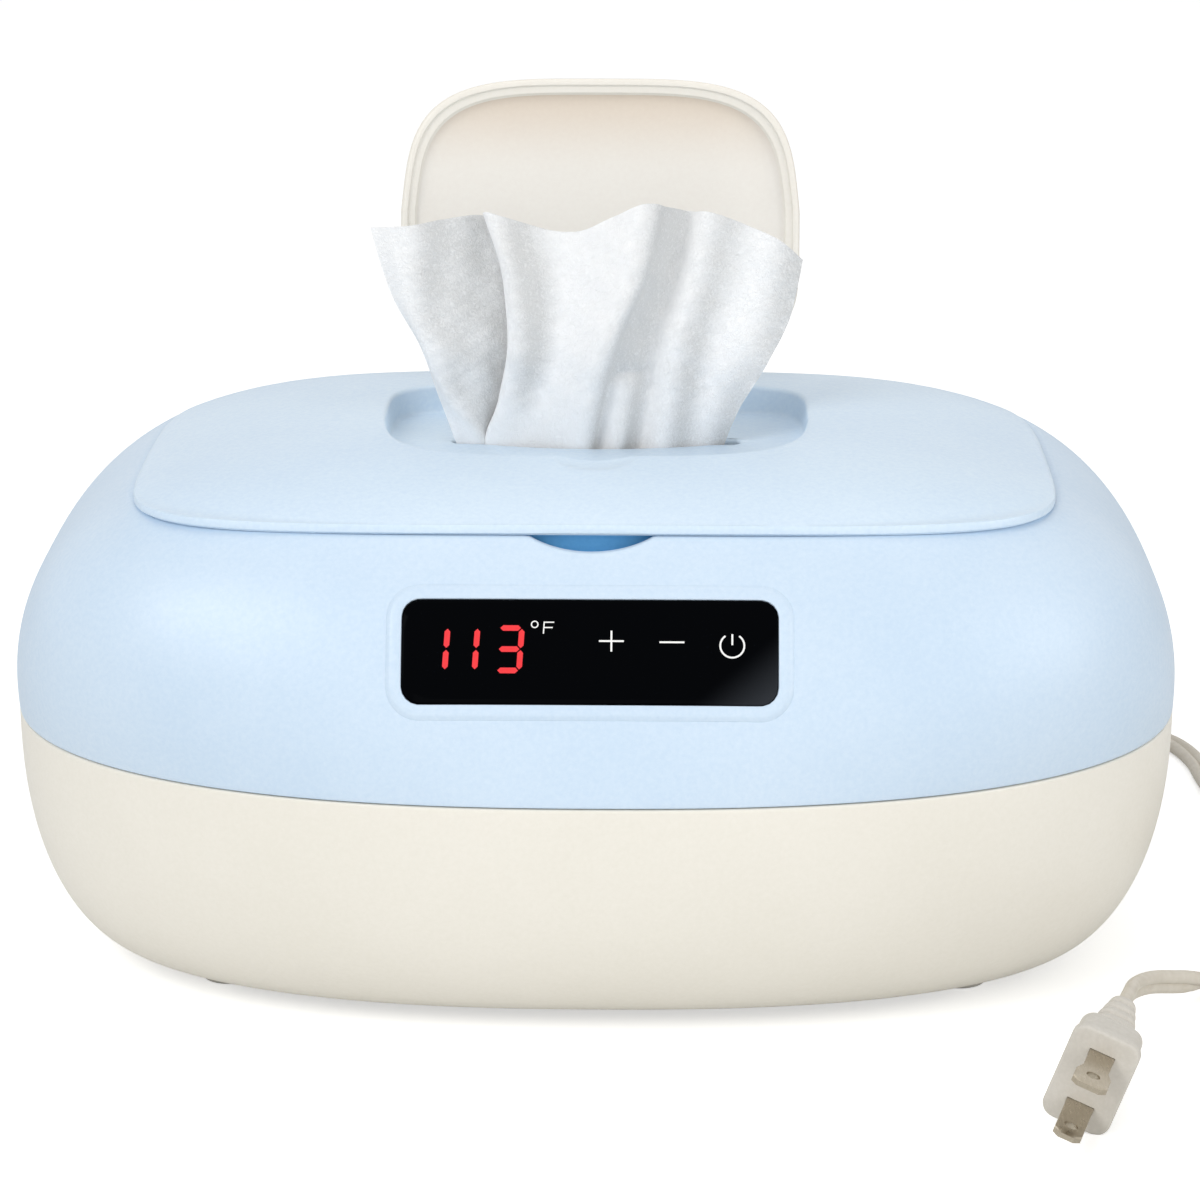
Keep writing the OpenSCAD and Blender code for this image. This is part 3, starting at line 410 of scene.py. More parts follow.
def rounded_outline(wide, high, radius, n=144):
    """A rectangle with round corners as (u, v), one point on each step of its length."""
    radius = max(radius, 0.01)
    long, tall = wide - 2 * radius, high - 2 * radius
    total = 2 * (long + tall) + 2 * math.pi * radius
    out = []
    for d in (total * k / n for k in range(n)):
        for length, start, corner in ((tall, (wide / 2, -tall / 2), 0), (long, (long / 2, high / 2), 1),
                                      (tall, (-wide / 2, tall / 2), 2), (long, (-long / 2, -high / 2), 3)):
            way = ((0, 1), (-1, 0), (0, -1), (1, 0))[corner]
            if d <= length:
                out.append((start[0] + way[0] * d, start[1] + way[1] * d))
                break
            d -= length
            arc = math.pi / 2 * radius
            if d <= arc:
                a = corner * math.pi / 2 + d / radius
                middle = ((long / 2, tall / 2), (-long / 2, tall / 2), (-long / 2, -tall / 2),
                          (long / 2, -tall / 2))[corner]
                out.append((middle[0] + radius * math.cos(a), middle[1] + radius * math.sin(a)))
                break
            d -= arc
    return np.array(out)


def plug_ring(w, h, y, corner=3.3):
    """A round-cornered oblong across the plug, y behind its face."""
    uv = rounded_outline(w, h, min(corner, w / 2 - 0.3, h / 2 - 0.3), 96)
    return np.column_stack([uv[:, 0], np.full(len(uv), y, float), uv[:, 1]])


def neck_ring(y, cut=0.0):
    """A ring of the tapering neck, smaller by the depth of a groove."""
    f = (y - NECK_AT) / (PLUG_L - NECK_AT)
    wide, high = (a + (b - a) * f for a, b in zip(NECK_FROM, NECK_TO))
    return plug_ring(wide - cut * 0.6, high - cut, y, NECK_R)


def put(piece, place):
    """Places a finished mesh without moving its object."""
    piece.data.transform(place)
    piece.data.update()
    return piece


face = plug_ring(PLUG_W - 1.6, PLUG_H - 1.6, 0)
plug_rings = [face * (k, 1, k) for k in (0, 0.5, 1)]
plug_rings += [plug_ring(PLUG_W - w, PLUG_H - h, y) for w, h, y in
               ((0.9, 0.9, 0.03), (0.4, 0.4, 0.14), (0.1, 0.1, 0.36), (0, 0, 0.7), (0, 0, 2.7),
                (0.1, 0.12, 3.0), (0.4, 0.5, 3.2), (0.9, 1.8, 3.3), (1.4, 3.7, 3.4), (1.6, 4.2, 3.7),
                (1.5, 4.3, 5), (1.2, 4.5, 9), (1.1, 4.7, 13), (1.2, 5.1, 14.6), (1.7, 6.2, 15.9),
                (2.6, 8.2, 16.7), (3.4, 9.6, 16.95))]
for k in range(NECK_RIBS):
    y = NECK_AT + k * rib_pitch
    plug_rings += [neck_ring(y + d * rib_pitch, cut) for d, cut in
                   ((0, 1.2), (0.03, 0.5), (0.09, 0.1), (0.16, 0), (0.42, 0), (0.5, 0.12), (0.55, 0.5),
                    (0.58, 1.1), (0.63, 1.5), (0.93, 1.6))]
y = NECK_AT + NECK_RIBS * rib_pitch
plug_rings += [neck_ring(at, cut) for at, cut in
               ((y, 1.2), (y + 0.15, 0.5), (y + 0.5, 0.05), (PLUG_L - 0.5, 0), (PLUG_L - 0.12, 0.35),
                (PLUG_L, 1.0))]
plug_rings += [plug_rings[-1] * (k, 1, k) for k in (0.8, 0.4, 0)]
plug = shell("mains_plug", plug_rings, 40)
plug_slots = []
for s in (-1, 1):
    half, middle = SLOT_HALF - POLAR_LESS * (s > 0), s * BLADE_APART / 2
    plug_slots.append(block("blade_slot", (-half, -1, middle - BLADE_T / 2 - BLADE_PLAY),
                            (half, BLADE_ROOT + 0.1, middle + BLADE_T / 2 + BLADE_PLAY)))
cut_away(plug, plug_slots, 40)
put(plug, plug_place)
# Moulded vinyl: matt beside the cord, with the drift of colour of a thick moulding.
plug_vinyl = plastic("moulded_plug_vinyl", "#d3cec5", "#c9c4ba", grain=1.0, depth=0.02, rough=(0.45, 0.56),
                     cloud=12)
finish(plug, plug_vinyl, "base", "plug_vinyl", "plug_body")

BLADE_POINT, BORE_R, BORE_FROM_TIP = 1.4, 1.55, 5
half_t = BLADE_T / 2
blades = []
for s, neck, tip in ((-1, 3.15, 3.15), (1, 2.9, 3.95)):
    side = [(neck, BLADE_ROOT), (neck, -BLADE_L / 2), (tip, -0.66 * BLADE_L), (tip, BLADE_POINT - BLADE_L),
            (tip - BLADE_POINT, -BLADE_L)]
    outline = np.array(side + [(-x, y) for x, y in reversed(side)])
    middle = np.array([0, (BLADE_ROOT - BLADE_L) / 2])
    level = s * BLADE_APART / 2
    faces = [np.column_stack([middle + (outline - middle) * keep, np.full(len(outline), level + z)])
             for keep, z in ((0, -half_t), (0.96, -half_t), (1, 0.15 - half_t), (1, half_t - 0.15),
                             (0.96, half_t), (0, half_t))]
    blade = shell("blade", faces, 20)
    bore = turned("bore", [(0, -2), (BORE_R, -2), (BORE_R, 2), (0, 2)],
                  (0, BORE_FROM_TIP - BLADE_L, level), sides=40)
    blades.append(cut_away(blade, [bore], 20))
plug_contacts = put(join(blades, "plug_contacts"), plug_place)
# Plated brass strip: a warm grey gleam with lines along the way that it was drawn.
worn_brass = metal("plated_brass_strip", "#c3baa9", "#a89d8a", rough=(0.22, 0.36), along=(5, 1, 5), line=2.5)
finish(plug_contacts, worn_brass, "base", "blade_brass", "plug_blades")

# The strain relief: a ribbed vinyl cone moulded on the cord, with a flange that holds it in the wall.
EXIT, EXIT_R, RELIEF_L, RELIEF_RIBS, RIB_STEP = (85, 66, 16), 5.0, 18, 4, 4
to_back = Matrix.Rotation(-math.pi / 2, 3, "X")
relief = [(0, -14), (5.9, -14), (6.2, -13.7), (6.2, -12.5), (5.9, -12.2), (4.9, -12.2), (4.9, 0.3)]
for k in range(RELIEF_RIBS):
    start, rib = 3 + RIB_STEP * k, EXIT_R - 0.1 - 0.3 * k
    low = EXIT_R - 0.1 - 1.3 * start / RELIEF_L
    relief += [(low - 0.1, start - 0.1), (rib - 0.18, start + 0.02), (rib, start + 0.25), (rib, start + 1.35),
               (rib - 0.18, start + 1.58), (low - 0.25, start + 1.7)]
relief += [(3.6, RELIEF_L - 0.4), (3.3, RELIEF_L), (2.6, RELIEF_L), (0, RELIEF_L - 0.4)]
strain_relief = turned("strain_relief_boot", relief, EXIT, to_back, smooth=40)
finish(strain_relief, plug_vinyl, "base", "relief_vinyl", "strain_relief")

bpy.context.view_layer.update()

# ---- Base ----
# The lower half of the housing: one injection-moulded bowl of cream ABS with walls of 2.6 mm. Its plan
# is a soft oval, it tapers to a flat underside, and four wells in its floor take the screws from below.
BODY_W, BODY_D, BODY_H, SEAM_Z, FOOT_H = 276, 182, 127.8, 62, 3
PLAN_N, TOP_N, FRONT_LEAN = 2.39, 4.5, 10.1
BASE_TAPER, DEPTH_TAPER = 24.5, 1.28
WALL, SEAM_GAP = 2.6, 0.3
AROUND = 288
bearing = np.linspace(0, 2 * math.pi, AROUND, endpoint=False)
HALF_W, HALF_D = BODY_W / 2, BODY_D / 2
base_keep = 1 - BASE_TAPER / HALF_W


def loop(wide, front, back, n_front, n_back, middle, z, narrow=0.0, turn=bearing):
    """A superellipse with a point on each bearing, in mm. Its front and back halves may differ."""
    c, s = np.cos(turn), np.sin(turn)
    deep, n = np.where(s < 0, front, back), np.where(s < 0, n_front, n_back)
    r = (np.abs(c / wide) ** n + np.abs(s / deep) ** n) ** (-1 / n)
    x, y = r * c, r * s
    x = x * (1 - narrow * np.maximum(0, -y / front))
    return np.column_stack([x, y + middle, np.broadcast_to(z, x.shape)])


def dome(z):
    """Half width, front and back depth and squareness of the body at a height above the seam."""
    t = np.clip((np.asarray(z, float) - SEAM_Z) / (BODY_H - SEAM_Z), 0, 1)
    r = np.maximum(0, 1 - t ** 2.37) ** (1 / 4.41)
    return (np.maximum(HALF_W * r, 0.01), np.maximum(HALF_D * r - FRONT_LEAN * t, 0.5),
            HALF_D * r + FRONT_LEAN * t * t, PLAN_N + (TOP_N - PLAN_N) * t)


def body_ring(z, inset=0.0):
    """The outer form at a height, moved inwards."""
    z = np.broadcast_to(np.asarray(z, float), bearing.shape)
    wide, front, back, n = dome(z)
    share = np.clip((SEAM_Z - z) / (SEAM_Z - FOOT_H), 0, 1)
    keep = base_keep + (1 - base_keep) * (1 - share ** 2.363) ** (1 / 1.723)
    low = z < SEAM_Z
    wide = np.where(low, HALF_W * keep, wide)
    deep = HALF_D - DEPTH_TAPER * HALF_W * (1 - keep)
    front, back = np.where(low, deep, front), np.where(low, deep, back)
    return loop(wide - inset, front - inset, back - inset, n, n, 0, z)


def at_height(ring, z):
    """The same outline at another height, or at one height for each point."""
    return np.column_stack([ring[:, 0], ring[:, 1], np.broadcast_to(z, ring.shape[:1])])


def shrunk(ring, share):
    """The same ring drawn towards its middle."""
    middle = ring.mean(axis=0)
    return middle + (ring - middle) * share


SCREW_Y, SCREW_HEAD_R, SCREW_WELL_R, SCREW_POST_R = 15, 2.8, 3.2, 4.5
screw_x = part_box("housing_screws")[1].x / mm - SCREW_HEAD_R
screw_places = [(x * screw_x, y * SCREW_Y, 0) for x in (-1, 1) for y in (-1, 1)]

outside = [FOOT_H + (SEAM_Z - 0.9 - FOOT_H) * (k / 36) ** 2 for k in range(37)]
seam_top = SEAM_Z - SEAM_GAP / 2
rings = [shrunk(body_ring(FOOT_H), k) for k in (0, 0.5, 0.9)] + [body_ring(z) for z in outside]
rings += [body_ring(seam_top - down, inset) for down, inset in
          ((0.35, 0.04), (0.16, 0.13), (0.05, 0.28), (0, 0.48), (0, 1.6), (0, WALL))]
rings += [body_ring(z, WALL) for z in (56, 48, 40, 32, 24, 17, 12, 8.5)]
rings += [at_height(body_ring(FOOT_H + 1.6, WALL), FOOT_H + WALL)]
rings += [shrunk(rings[-1], k) for k in (0.9, 0.5, 0)]
base = shell("base_bowl", rings)
well = [(0, 9.5), (SCREW_WELL_R, 9.5), (SCREW_WELL_R, 5), (SCREW_POST_R, 5), (SCREW_POST_R, 22), (0, 22)]
wells = [turned("well", well, place, sides=32) for place in screw_places]
hole = [(0, 0), (SCREW_WELL_R, 0), (SCREW_WELL_R, 7), (0, 7)]
holes = [turned("hole", hole, place, sides=32) for place in screw_places]
holes.append(turned("hole", [(0, -25), (EXIT_R, -25), (EXIT_R, 20), (0, 20)], EXIT, to_back))
cut_away(base, holes)
join([base, *wells], "base_bowl")
# Moulded ABS: satin, with a fine even grain and hardly any drift of colour.
cream_abs = plastic("moulded_abs_cream", "#efebe1", "#ebe7dc")
finish(base, cream_abs, "base", "base_cream", "base_housing")

# ---- Feet and housing screws ----
# Four soft rubber discs, glued to the underside, keep the warmer from sliding. Four zinc-plated pan-head
# screws stand in their wells and draw the two halves of the housing together.
FOOT_R = 7
foot_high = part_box("feet")[1]
foot_x, foot_y = foot_high.x / mm - FOOT_R, foot_high.y / mm - FOOT_R
foot = [(0, 0), (4.2, 0), (4.4, 0.25), (5.6, 0.25), (5.9, 0), (FOOT_R - 0.6, 0.15), (FOOT_R - 0.2, 0.6),
        (FOOT_R, 1.3), (FOOT_R, FOOT_H), (0, FOOT_H)]
feet = join([turned("foot", foot, (x * foot_x, y * foot_y, 0)) for x in (-1, 1) for y in (-1, 1)],
            "rubber_feet")
# Pale thermoplastic rubber: matt, a little rough to the touch.
rubber = plastic("pale_rubber", "#cfccc4", "#c6c3bb", grain=0.7, depth=0.04, rough=(0.6, 0.75), cloud=8)
finish(feet, rubber, "base", "foot_rubber", "feet")

screw = [(0, 9.6), (1.1, 9.6), (1.3, 8.9), (2.5, 8.9), (2.75, 9.5), (SCREW_HEAD_R, 10.9), (1.5, 11),
         (1.45, 28.6), (1.1, 29), (0, 29)]
screws = join([turned("screw", screw, place, sides=32) for place in screw_places], "pan_head_screws")
# Zinc plate: a soft blue-grey gleam, speckled rather than brushed.
zinc_steel = metal("zinc_plated_steel", "#b9bcc0", "#a5a8ab", rough=(0.3, 0.45), line=0.8)
finish(screws, zinc_steel, "base", "screw_steel", "housing_screws")

# ---- Upper housing ----
# The pale blue upper half, moulded from satin ABS. It leans back at the front and closes in to a rim
# round the lid, with a ledge inside for the tub, a scoop for a fingertip, and two hinge stations behind.
LID_Z, LID_GAP = 117.2, 1.0
RIM_Z, RIM_TOP, RIM_IN = LID_Z - LID_GAP, LID_Z - 0.45, 2.2
LEDGE_Z, LEDGE_T = RIM_Z - 5.6, 2.4
SCOOP_W, SCOOP_H, SCOOP_FROM = 32, 4.0, 107.0
TUB_SIDE, TUB_FRONT, TUB_BACK, FLANGE_W = 7.8, 11, 14.2, 4
TONGUE_GAP = 0.35
rim_wide, rim_front, rim_back = (float(v) for v in dome(RIM_Z)[:3])
tub_half = rim_wide - RIM_IN - TUB_SIDE - FLANGE_W
tub_front = rim_front - RIM_IN - TUB_FRONT - FLANGE_W
tub_back = rim_back - RIM_IN - TUB_BACK - FLANGE_W
tub_deep, tub_y = (tub_front + tub_back) / 2, (tub_back - tub_front) / 2


def tub_ring(out, z):
    """The tub's plan at a height, grown by some mm."""
    return loop(tub_half + out, tub_deep + out, tub_deep + out, 5, 5, tub_y, z)


def scooped(z, inset=0.0):
    """A ring of the housing whose front dips into the finger scoop."""
    ring = body_ring(z, inset)
    for _ in range(3):
        x = ring[:, 0]
        arch = np.maximum(0, 1 - (x / (SCOOP_W / 2)) ** 2) ** 0.8
        in_scoop = (np.abs(x) < SCOOP_W / 2) & (ring[:, 1] < 0)
        top = np.minimum(RIM_TOP, np.where(in_scoop, RIM_Z + 1.8 - SCOOP_H * arch, RIM_TOP))
        squeeze = (top - SCOOP_FROM) / (RIM_TOP - SCOOP_FROM)
        ring = body_ring(SCOOP_FROM + (z - SCOOP_FROM) * squeeze, inset)
    return ring


seam_bottom = SEAM_Z + SEAM_GAP / 2
rings = [body_ring(seam_bottom + up, inset) for up, inset in
         ((0, 1.2), (0, 0.48), (0.05, 0.28), (0.16, 0.13), (0.35, 0.04))]
rings += [body_ring(z) for z in np.linspace(SEAM_Z + 0.8, SCOOP_FROM, 38)]
rings += [scooped(z) for z in np.linspace(SCOOP_FROM, RIM_TOP - 0.75, 12)[1:]]
rings += [scooped(RIM_TOP - down, inset) for down, inset in
          ((0.42, 0.03), (0.2, 0.13), (0.06, 0.3), (0, 0.55), (0, 1.75), (0.08, 1.98), (0.3, 2.16),
           (0.6, RIM_IN))]
rings += [scooped(z, RIM_IN) for z in (114, 112.4)]
rings += [at_height(body_ring(RIM_Z, RIM_IN), LEDGE_Z), tub_ring(0.6, LEDGE_Z),
          tub_ring(0.6, LEDGE_Z - LEDGE_T), body_ring(LEDGE_Z - LEDGE_T, WALL * 1.3)]
rings += [body_ring(z, WALL) for z in np.linspace(101, 66, 9)]
rings += [body_ring(SEAM_Z + 1.5, WALL * 2), body_ring(SEAM_Z - 4, WALL * 2),
          body_ring(SEAM_Z - 4, WALL + TONGUE_GAP), body_ring(seam_bottom, WALL + TONGUE_GAP)]
upper = shell("upper_shell", [*rings, rings[0]])

# The display stands square to the leaning front: its middle, and the ways up and out of it.
LENS_W, LENS_H, LENS_R, LENS_Z, LENS_GAP = 83, 23.4, 3.9, 95.6, 0.3
LENS_TILT = math.radians(27.5)
lens_out = np.array([0, -math.cos(LENS_TILT), math.sin(LENS_TILT)])
lens_up = np.array([0, math.sin(LENS_TILT), math.cos(LENS_TILT)])
lens_middle = np.array([0, -float(dome(LENS_Z)[1]), LENS_Z])


def front_y(x, z):
    """Where the front wall stands at x and z."""
    wide, front, _, n = dome(z)
    return -front * np.maximum(0, 1 - np.abs(x / wide) ** n) ** (1 / n)


def on_front(u, v, out=0.0):
    """Points of the front wall seen square to the panel at (u, v), raised by out. All in mm."""
    u, v = np.broadcast_arrays(np.asarray(u, float), np.asarray(v, float))
    s = np.zeros_like(u)
    for _ in range(8):
        p = lens_middle + v[..., None] * lens_up + s[..., None] * lens_out
        s = s - (front_y(u, p[..., 2]) - p[..., 1]) * math.cos(LENS_TILT)
    p = lens_middle + v[..., None] * lens_up + (s + out)[..., None] * lens_out
    p[..., 0] = u
    return p


def panel_ring(grow, out, share=1.0):
    """A ring round the display window, grown by some mm and raised."""
    uv = rounded_outline(LENS_W + 2 * grow, LENS_H + 2 * grow, LENS_R + grow) * share
    return on_front(uv[:, 0], uv[:, 1], out)


window = shell("window", [panel_ring(LENS_GAP, 6, k) for k in (0, 1)]
               + [panel_ring(LENS_GAP, -7, k) for k in (1, 0)])

# Hinge stations: a pocket for each knuckle of the lid, with an ear on either side of it.
HINGE_X, KNUCKLE_W, KNUCKLE_GAP, EAR_W, MAIN_BARREL = 46, 14, 0.4, 6, 3.9
HINGE_BACK, HINGE_DOWN = 3.2, 2.6
main_y, main_z = float(dome(LID_Z)[2]) + HINGE_BACK, LID_Z - HINGE_DOWN
knuckle_room = KNUCKLE_W / 2 + KNUCKLE_GAP


def rod(name, radius, x0, x1, y, z, edge=0.4, sides=40):
    """A round bar along X with broken edges."""
    nick = edge * 0.3
    return turned(name, [(0, x0), (radius - edge, x0), (radius - nick, x0 + nick), (radius, x0 + edge),
                         (radius, x1 - edge), (radius - nick, x1 - nick), (radius - edge, x1), (0, x1)],
                  (0, y, z), Matrix.Rotation(math.pi / 2, 3, "Y"), sides)


pockets, ears = [], []
for middle in (-HINGE_X, HINGE_X):
    low_corner = (middle - knuckle_room, main_y - MAIN_BARREL - 0.8, main_z - MAIN_BARREL - 0.6)
    pockets.append(block("pocket", low_corner, (middle + knuckle_room, main_y + 12, RIM_Z + 4)))
    for start in (middle - knuckle_room - EAR_W, middle + knuckle_room):
        ears.append(rod("ear", MAIN_BARREL, start, start + EAR_W, main_y, main_z))
        ears.append(block("ear_web", (start, main_y - MAIN_BARREL - 1, main_z - MAIN_BARREL),
                          (start + EAR_W, main_y, main_z), 0.3, 2))
cut_away(upper, [window, *pockets])
join([upper, *ears], "upper_shell")
# The same satin ABS as the base, in pale blue.
blue_abs = plastic("moulded_abs_blue", "#d2e3f3", "#c8dcef")
finish(upper, blue_abs, "base", "housing_blue", "upper_housing")

# The raised frame round the display: a flat band with a bevelled outer edge, moulded with the housing.
frame_rings = [panel_ring(grow, out) for grow, out in
               ((3.6, -0.25), (3.56, 0.02), (3.4, 0.14), (2.75, 0.5), (2.5, 0.58), (0.45, 0.55), (0.25, 0.45),
                (0.16, 0.25), (0.16, -1.5), (1.2, -1.6))]
surround = shell("display_frame", [*frame_rings, frame_rings[0]], smooth=50)
finish(surround, blue_abs, "base", "housing_blue")

# ---- Display ----
# A bent panel of gloss black acrylic, 2 mm thick. Red figures shine through it, and the unit and the
# three touch signs are printed in white.
lens_rings = [panel_ring(0, -1.6, k) for k in (0, 0.4, 0.8, 1)]
lens_rings += [panel_ring(0, 0.1), panel_ring(-0.06, 0.24), panel_ring(-0.2, 0.32), panel_ring(-0.45, 0.36)]
lens_rings += [panel_ring(-0.45, 0.36, k) for k in (0.94, 0.84, 0.7, 0.52, 0.3, 0.12, 0)]
lens = shell("display_panel", lens_rings)
# Black acrylic: deep and clear, its gloss faintly hazed. A painted reflection turns the lower right corner
# to a soft grey sheen, from a slanting line on.
SLANT, SHEEN_FROM, SHEEN_TO = -1.3, -0.089, -0.066
black_acrylic, tree = new_surface("gloss_black_acrylic")
place = add(tree, "ShaderNodeTexCoord")
haze = add(tree, "ShaderNodeTexNoise", {"Vector": place.outputs["Object"], "Scale": 60.0, "Detail": 2.0})
film = add(tree, "ShaderNodeMapRange", {"Value": haze.outputs["Fac"], "To Min": 0.04, "To Max": 0.09})
corner = add(tree, "ShaderNodeSeparateXYZ", {"Vector": place.outputs["Object"]})
slant = add(tree, "ShaderNodeMath", {0: corner.outputs["Z"], 1: SLANT, 2: corner.outputs["X"]},
            operation="MULTIPLY_ADD")
# Painted reflection: past the slanting line the colour goes from black to grey.
painted_sheen = add(tree, "ShaderNodeMapRange",
            {"Value": slant.outputs[0], "From Min": SHEEN_FROM, "From Max": SHEEN_TO},
            interpolation_type="SMOOTHSTEP")
grey = add(tree, "ShaderNodeMix",
           {"Factor": painted_sheen.outputs[0], FIRST: srgb("#040507"), SECOND: srgb("#34373c")}, data_type="RGBA")
shader = add(tree, "ShaderNodeBsdfPrincipled", {"Base Color": grey.outputs[2], "Roughness": film.outputs[0],
                                                "IOR": 1.49, "Specular IOR Level": 0.01})
add(tree, "ShaderNodeOutputMaterial", {"Surface": shader.outputs[0]})
finish(lens, black_acrylic, "base", "lens_black", "display_lens")

PRINT_OUT, PRINT_T = 0.39, 0.03
FIGURE_H, FIGURE_W, FIGURE_LEAN, SEGMENT_W, SEGMENT_GAP = 9.5, 5.0, 0.06, 1.25, 0.22
FIGURE_Y, FIGURES_AT = 0.4, (-31.7, -25.1, -15.3)


def printed(name, line, wide, closed=False):
    """A stroke of print along a line of (u, v) points, laid on the panel."""
    line = np.array(line, float)
    ahead = np.roll(line, -1, 0) - np.roll(line, 1, 0)
    if not closed:
        ahead[0], ahead[-1] = line[1] - line[0], line[-1] - line[-2]
    ahead /= np.linalg.norm(ahead, axis=1)[:, None]
    side = np.column_stack([-ahead[:, 1], ahead[:, 0]]) * wide / 2
    if closed:
        line, side = np.vstack([line, line[:1]]), np.vstack([side, side[:1]])
    rings = [[on_front(*(p + q * d), PRINT_OUT + up) * mm for d, up in
              ((-1, 0), (1, 0), (1, PRINT_T), (-1, PRINT_T))] for p, q in zip(line, side)]
    rings = rings if closed else [[rings[0][0]] * 4, *rings, [rings[-1][0]] * 4]
    return skin(name, rings, 40)


def dotted(a, b, n=6):
    """Points along a straight line."""
    return [np.array(a) + (np.array(b) - np.array(a)) * k / n for k in range(n + 1)]


def arc(middle, radius, start, end, n=40):
    """Points along an arc, in degrees."""
    turns = (math.radians(start + (end - start) * k / n) for k in range(n + 1))
    return [(middle[0] + radius * math.cos(a), middle[1] + radius * math.sin(a)) for a in turns]


def segment(a, b):
    """One bar of a seven-segment figure, pointed at both ends."""
    a, b = np.array(a, float), np.array(b, float)
    way = (b - a) / np.linalg.norm(b - a)
    side = np.array([-way[1], way[0]]) * SEGMENT_W / 2
    a, b = a + way * SEGMENT_GAP, b - way * SEGMENT_GAP
    tip = SEGMENT_W / 2
    outline = [a, a + way * tip - side, b - way * tip - side, b, b - way * tip + side, a + way * tip + side]
    rings = [[on_front(p[0] + FIGURE_LEAN * p[1], p[1], PRINT_OUT + up) * mm for p in outline]
             for up in (0, PRINT_T)]
    return skin("segment", [[np.mean(rings[0], 0)] * 6, *rings, [np.mean(rings[1], 0)] * 6], 40)


def figure(right, middle, bars):
    """The lit bars of one figure, whose right-hand bars stand at right."""
    left, top, low = right - FIGURE_W, middle + FIGURE_H / 2, middle - FIGURE_H / 2
    ends = {"top": ((left, top), (right, top)), "middle": ((left, middle), (right, middle)),
            "low": ((left, low), (right, low)), "right_up": ((right, middle), (right, top)),
            "right_low": ((right, low), (right, middle))}
    return [segment(*ends[bar]) for bar in bars]


upright = ("right_up", "right_low")
bars = []
for right, lit in zip(FIGURES_AT, (upright, upright, ("top", "middle", "low", *upright))):
    bars += figure(right, FIGURE_Y, lit)
figures = join(bars, "temperature_figures")
# Red light-emitting segments behind the acrylic: even, with a faint mottle of the diffuser.
red_led, tree = new_surface("red_led_glow")
place = add(tree, "ShaderNodeTexCoord")
spots = add(tree, "ShaderNodeTexNoise", {"Vector": place.outputs["Object"], "Scale": 900.0, "Detail": 1.0})
tone = add(tree, "ShaderNodeMix",
           {"Factor": spots.outputs["Fac"], FIRST: srgb("#ff2a33"), SECOND: srgb("#f01c26")},
           data_type="RGBA")
shader = add(tree, "ShaderNodeBsdfPrincipled",
             {"Base Color": srgb("#3a0306"), "Roughness": 0.3, "Emission Color": tone.outputs[2],
              "Emission Strength": 0.95})
add(tree, "ShaderNodeOutputMaterial", {"Surface": shader.outputs[0]})
finish(figures, red_led, "base", "lens_black")

THIN, STROKE = 0.27, 0.4
UNIT_AT, PLUS_AT, MINUS_AT, POWER_AT = (-10.2, 0), (4.75, 2.3), (18.1, 2.1), (31.4, 1.4)
DEGREE_AT, DEGREE_R, SIGN_HALF, SIGN_HIGH, POWER_R = (-12.2, 6.0), 0.72, 2.75, 2.35, 2.65
marks = [printed("mark", arc(DEGREE_AT, DEGREE_R, 0, 345, 24), THIN, closed=True),
         printed("mark", arc(POWER_AT, POWER_R, 125, 415), STROKE)]
for (x, y), a, b, wide in ((UNIT_AT, (-0.05, 3.9), (0.1, 6.65), THIN),
                           (UNIT_AT, (-0.05, 6.5), (2.3, 6.5), THIN),
                           (UNIT_AT, (0, 5.3), (2.0, 5.3), THIN),
                           (PLUS_AT, (-SIGN_HALF, 0), (SIGN_HALF, 0), STROKE),
                           (PLUS_AT, (0, -SIGN_HIGH), (0, SIGN_HIGH), STROKE),
                           (MINUS_AT, (-SIGN_HALF, 0), (SIGN_HALF, 0), STROKE),
                           (POWER_AT, (0, 0.15), (0, 2.6), STROKE)):
    marks.append(printed("mark", dotted((x + a[0], y + a[1]), (x + b[0], y + b[1])), wide))
marks = join(marks, "display_print")
# White screen ink: flat and opaque, a few hundredths of a millimetre thick.
white_ink = plastic("white_screen_ink", "#f6f6f4", "#eeeeec", grain=0.3, depth=0.003, rough=(0.45, 0.55),
                    cloud=5)
finish(marks, white_ink, "base", "lens_black")

# ---- Main lid ----
# One pale blue ABS moulding. Its edge stands a little proud of the housing all round the front and the
# sides, its top goes on with the dome, and a dished well with an eye-shaped slot lets the wipes out.
LID_T, LID_RAISE = 2.2, 1.8
FLIP_W, FLIP_L, FLIP_GAP, FLIP_OPEN = 99, 65.4, 0.7, math.radians(105)
RECESS_Y, RECESS_Z = 4, 120.6
SLOT_L, SLOT_W, SLOT_END, SLOT_BACK = 69, 14, 5, 4.5
FLIP_TOP, FLIP_BARREL = BODY_H - 0.5, 3.1
ARM_X, ARM_W, ARM_GAP = 25, 9, 0.5
SIDE_IN, POCKET_WALL = 1.2, 1.8
recess_back = RECESS_Y + FLIP_L / 2
flip_y, flip_z = recess_back + 11.6, FLIP_TOP - 3.5
slot_y = RECESS_Y + SLOT_BACK


def flip_ring(out, z):
    """The small lid's plan at a height, grown by some mm."""
    return loop(FLIP_W / 2 + out, FLIP_L / 2 + out, FLIP_L / 2 + out, 3.8, 6, RECESS_Y, z, 0.067)


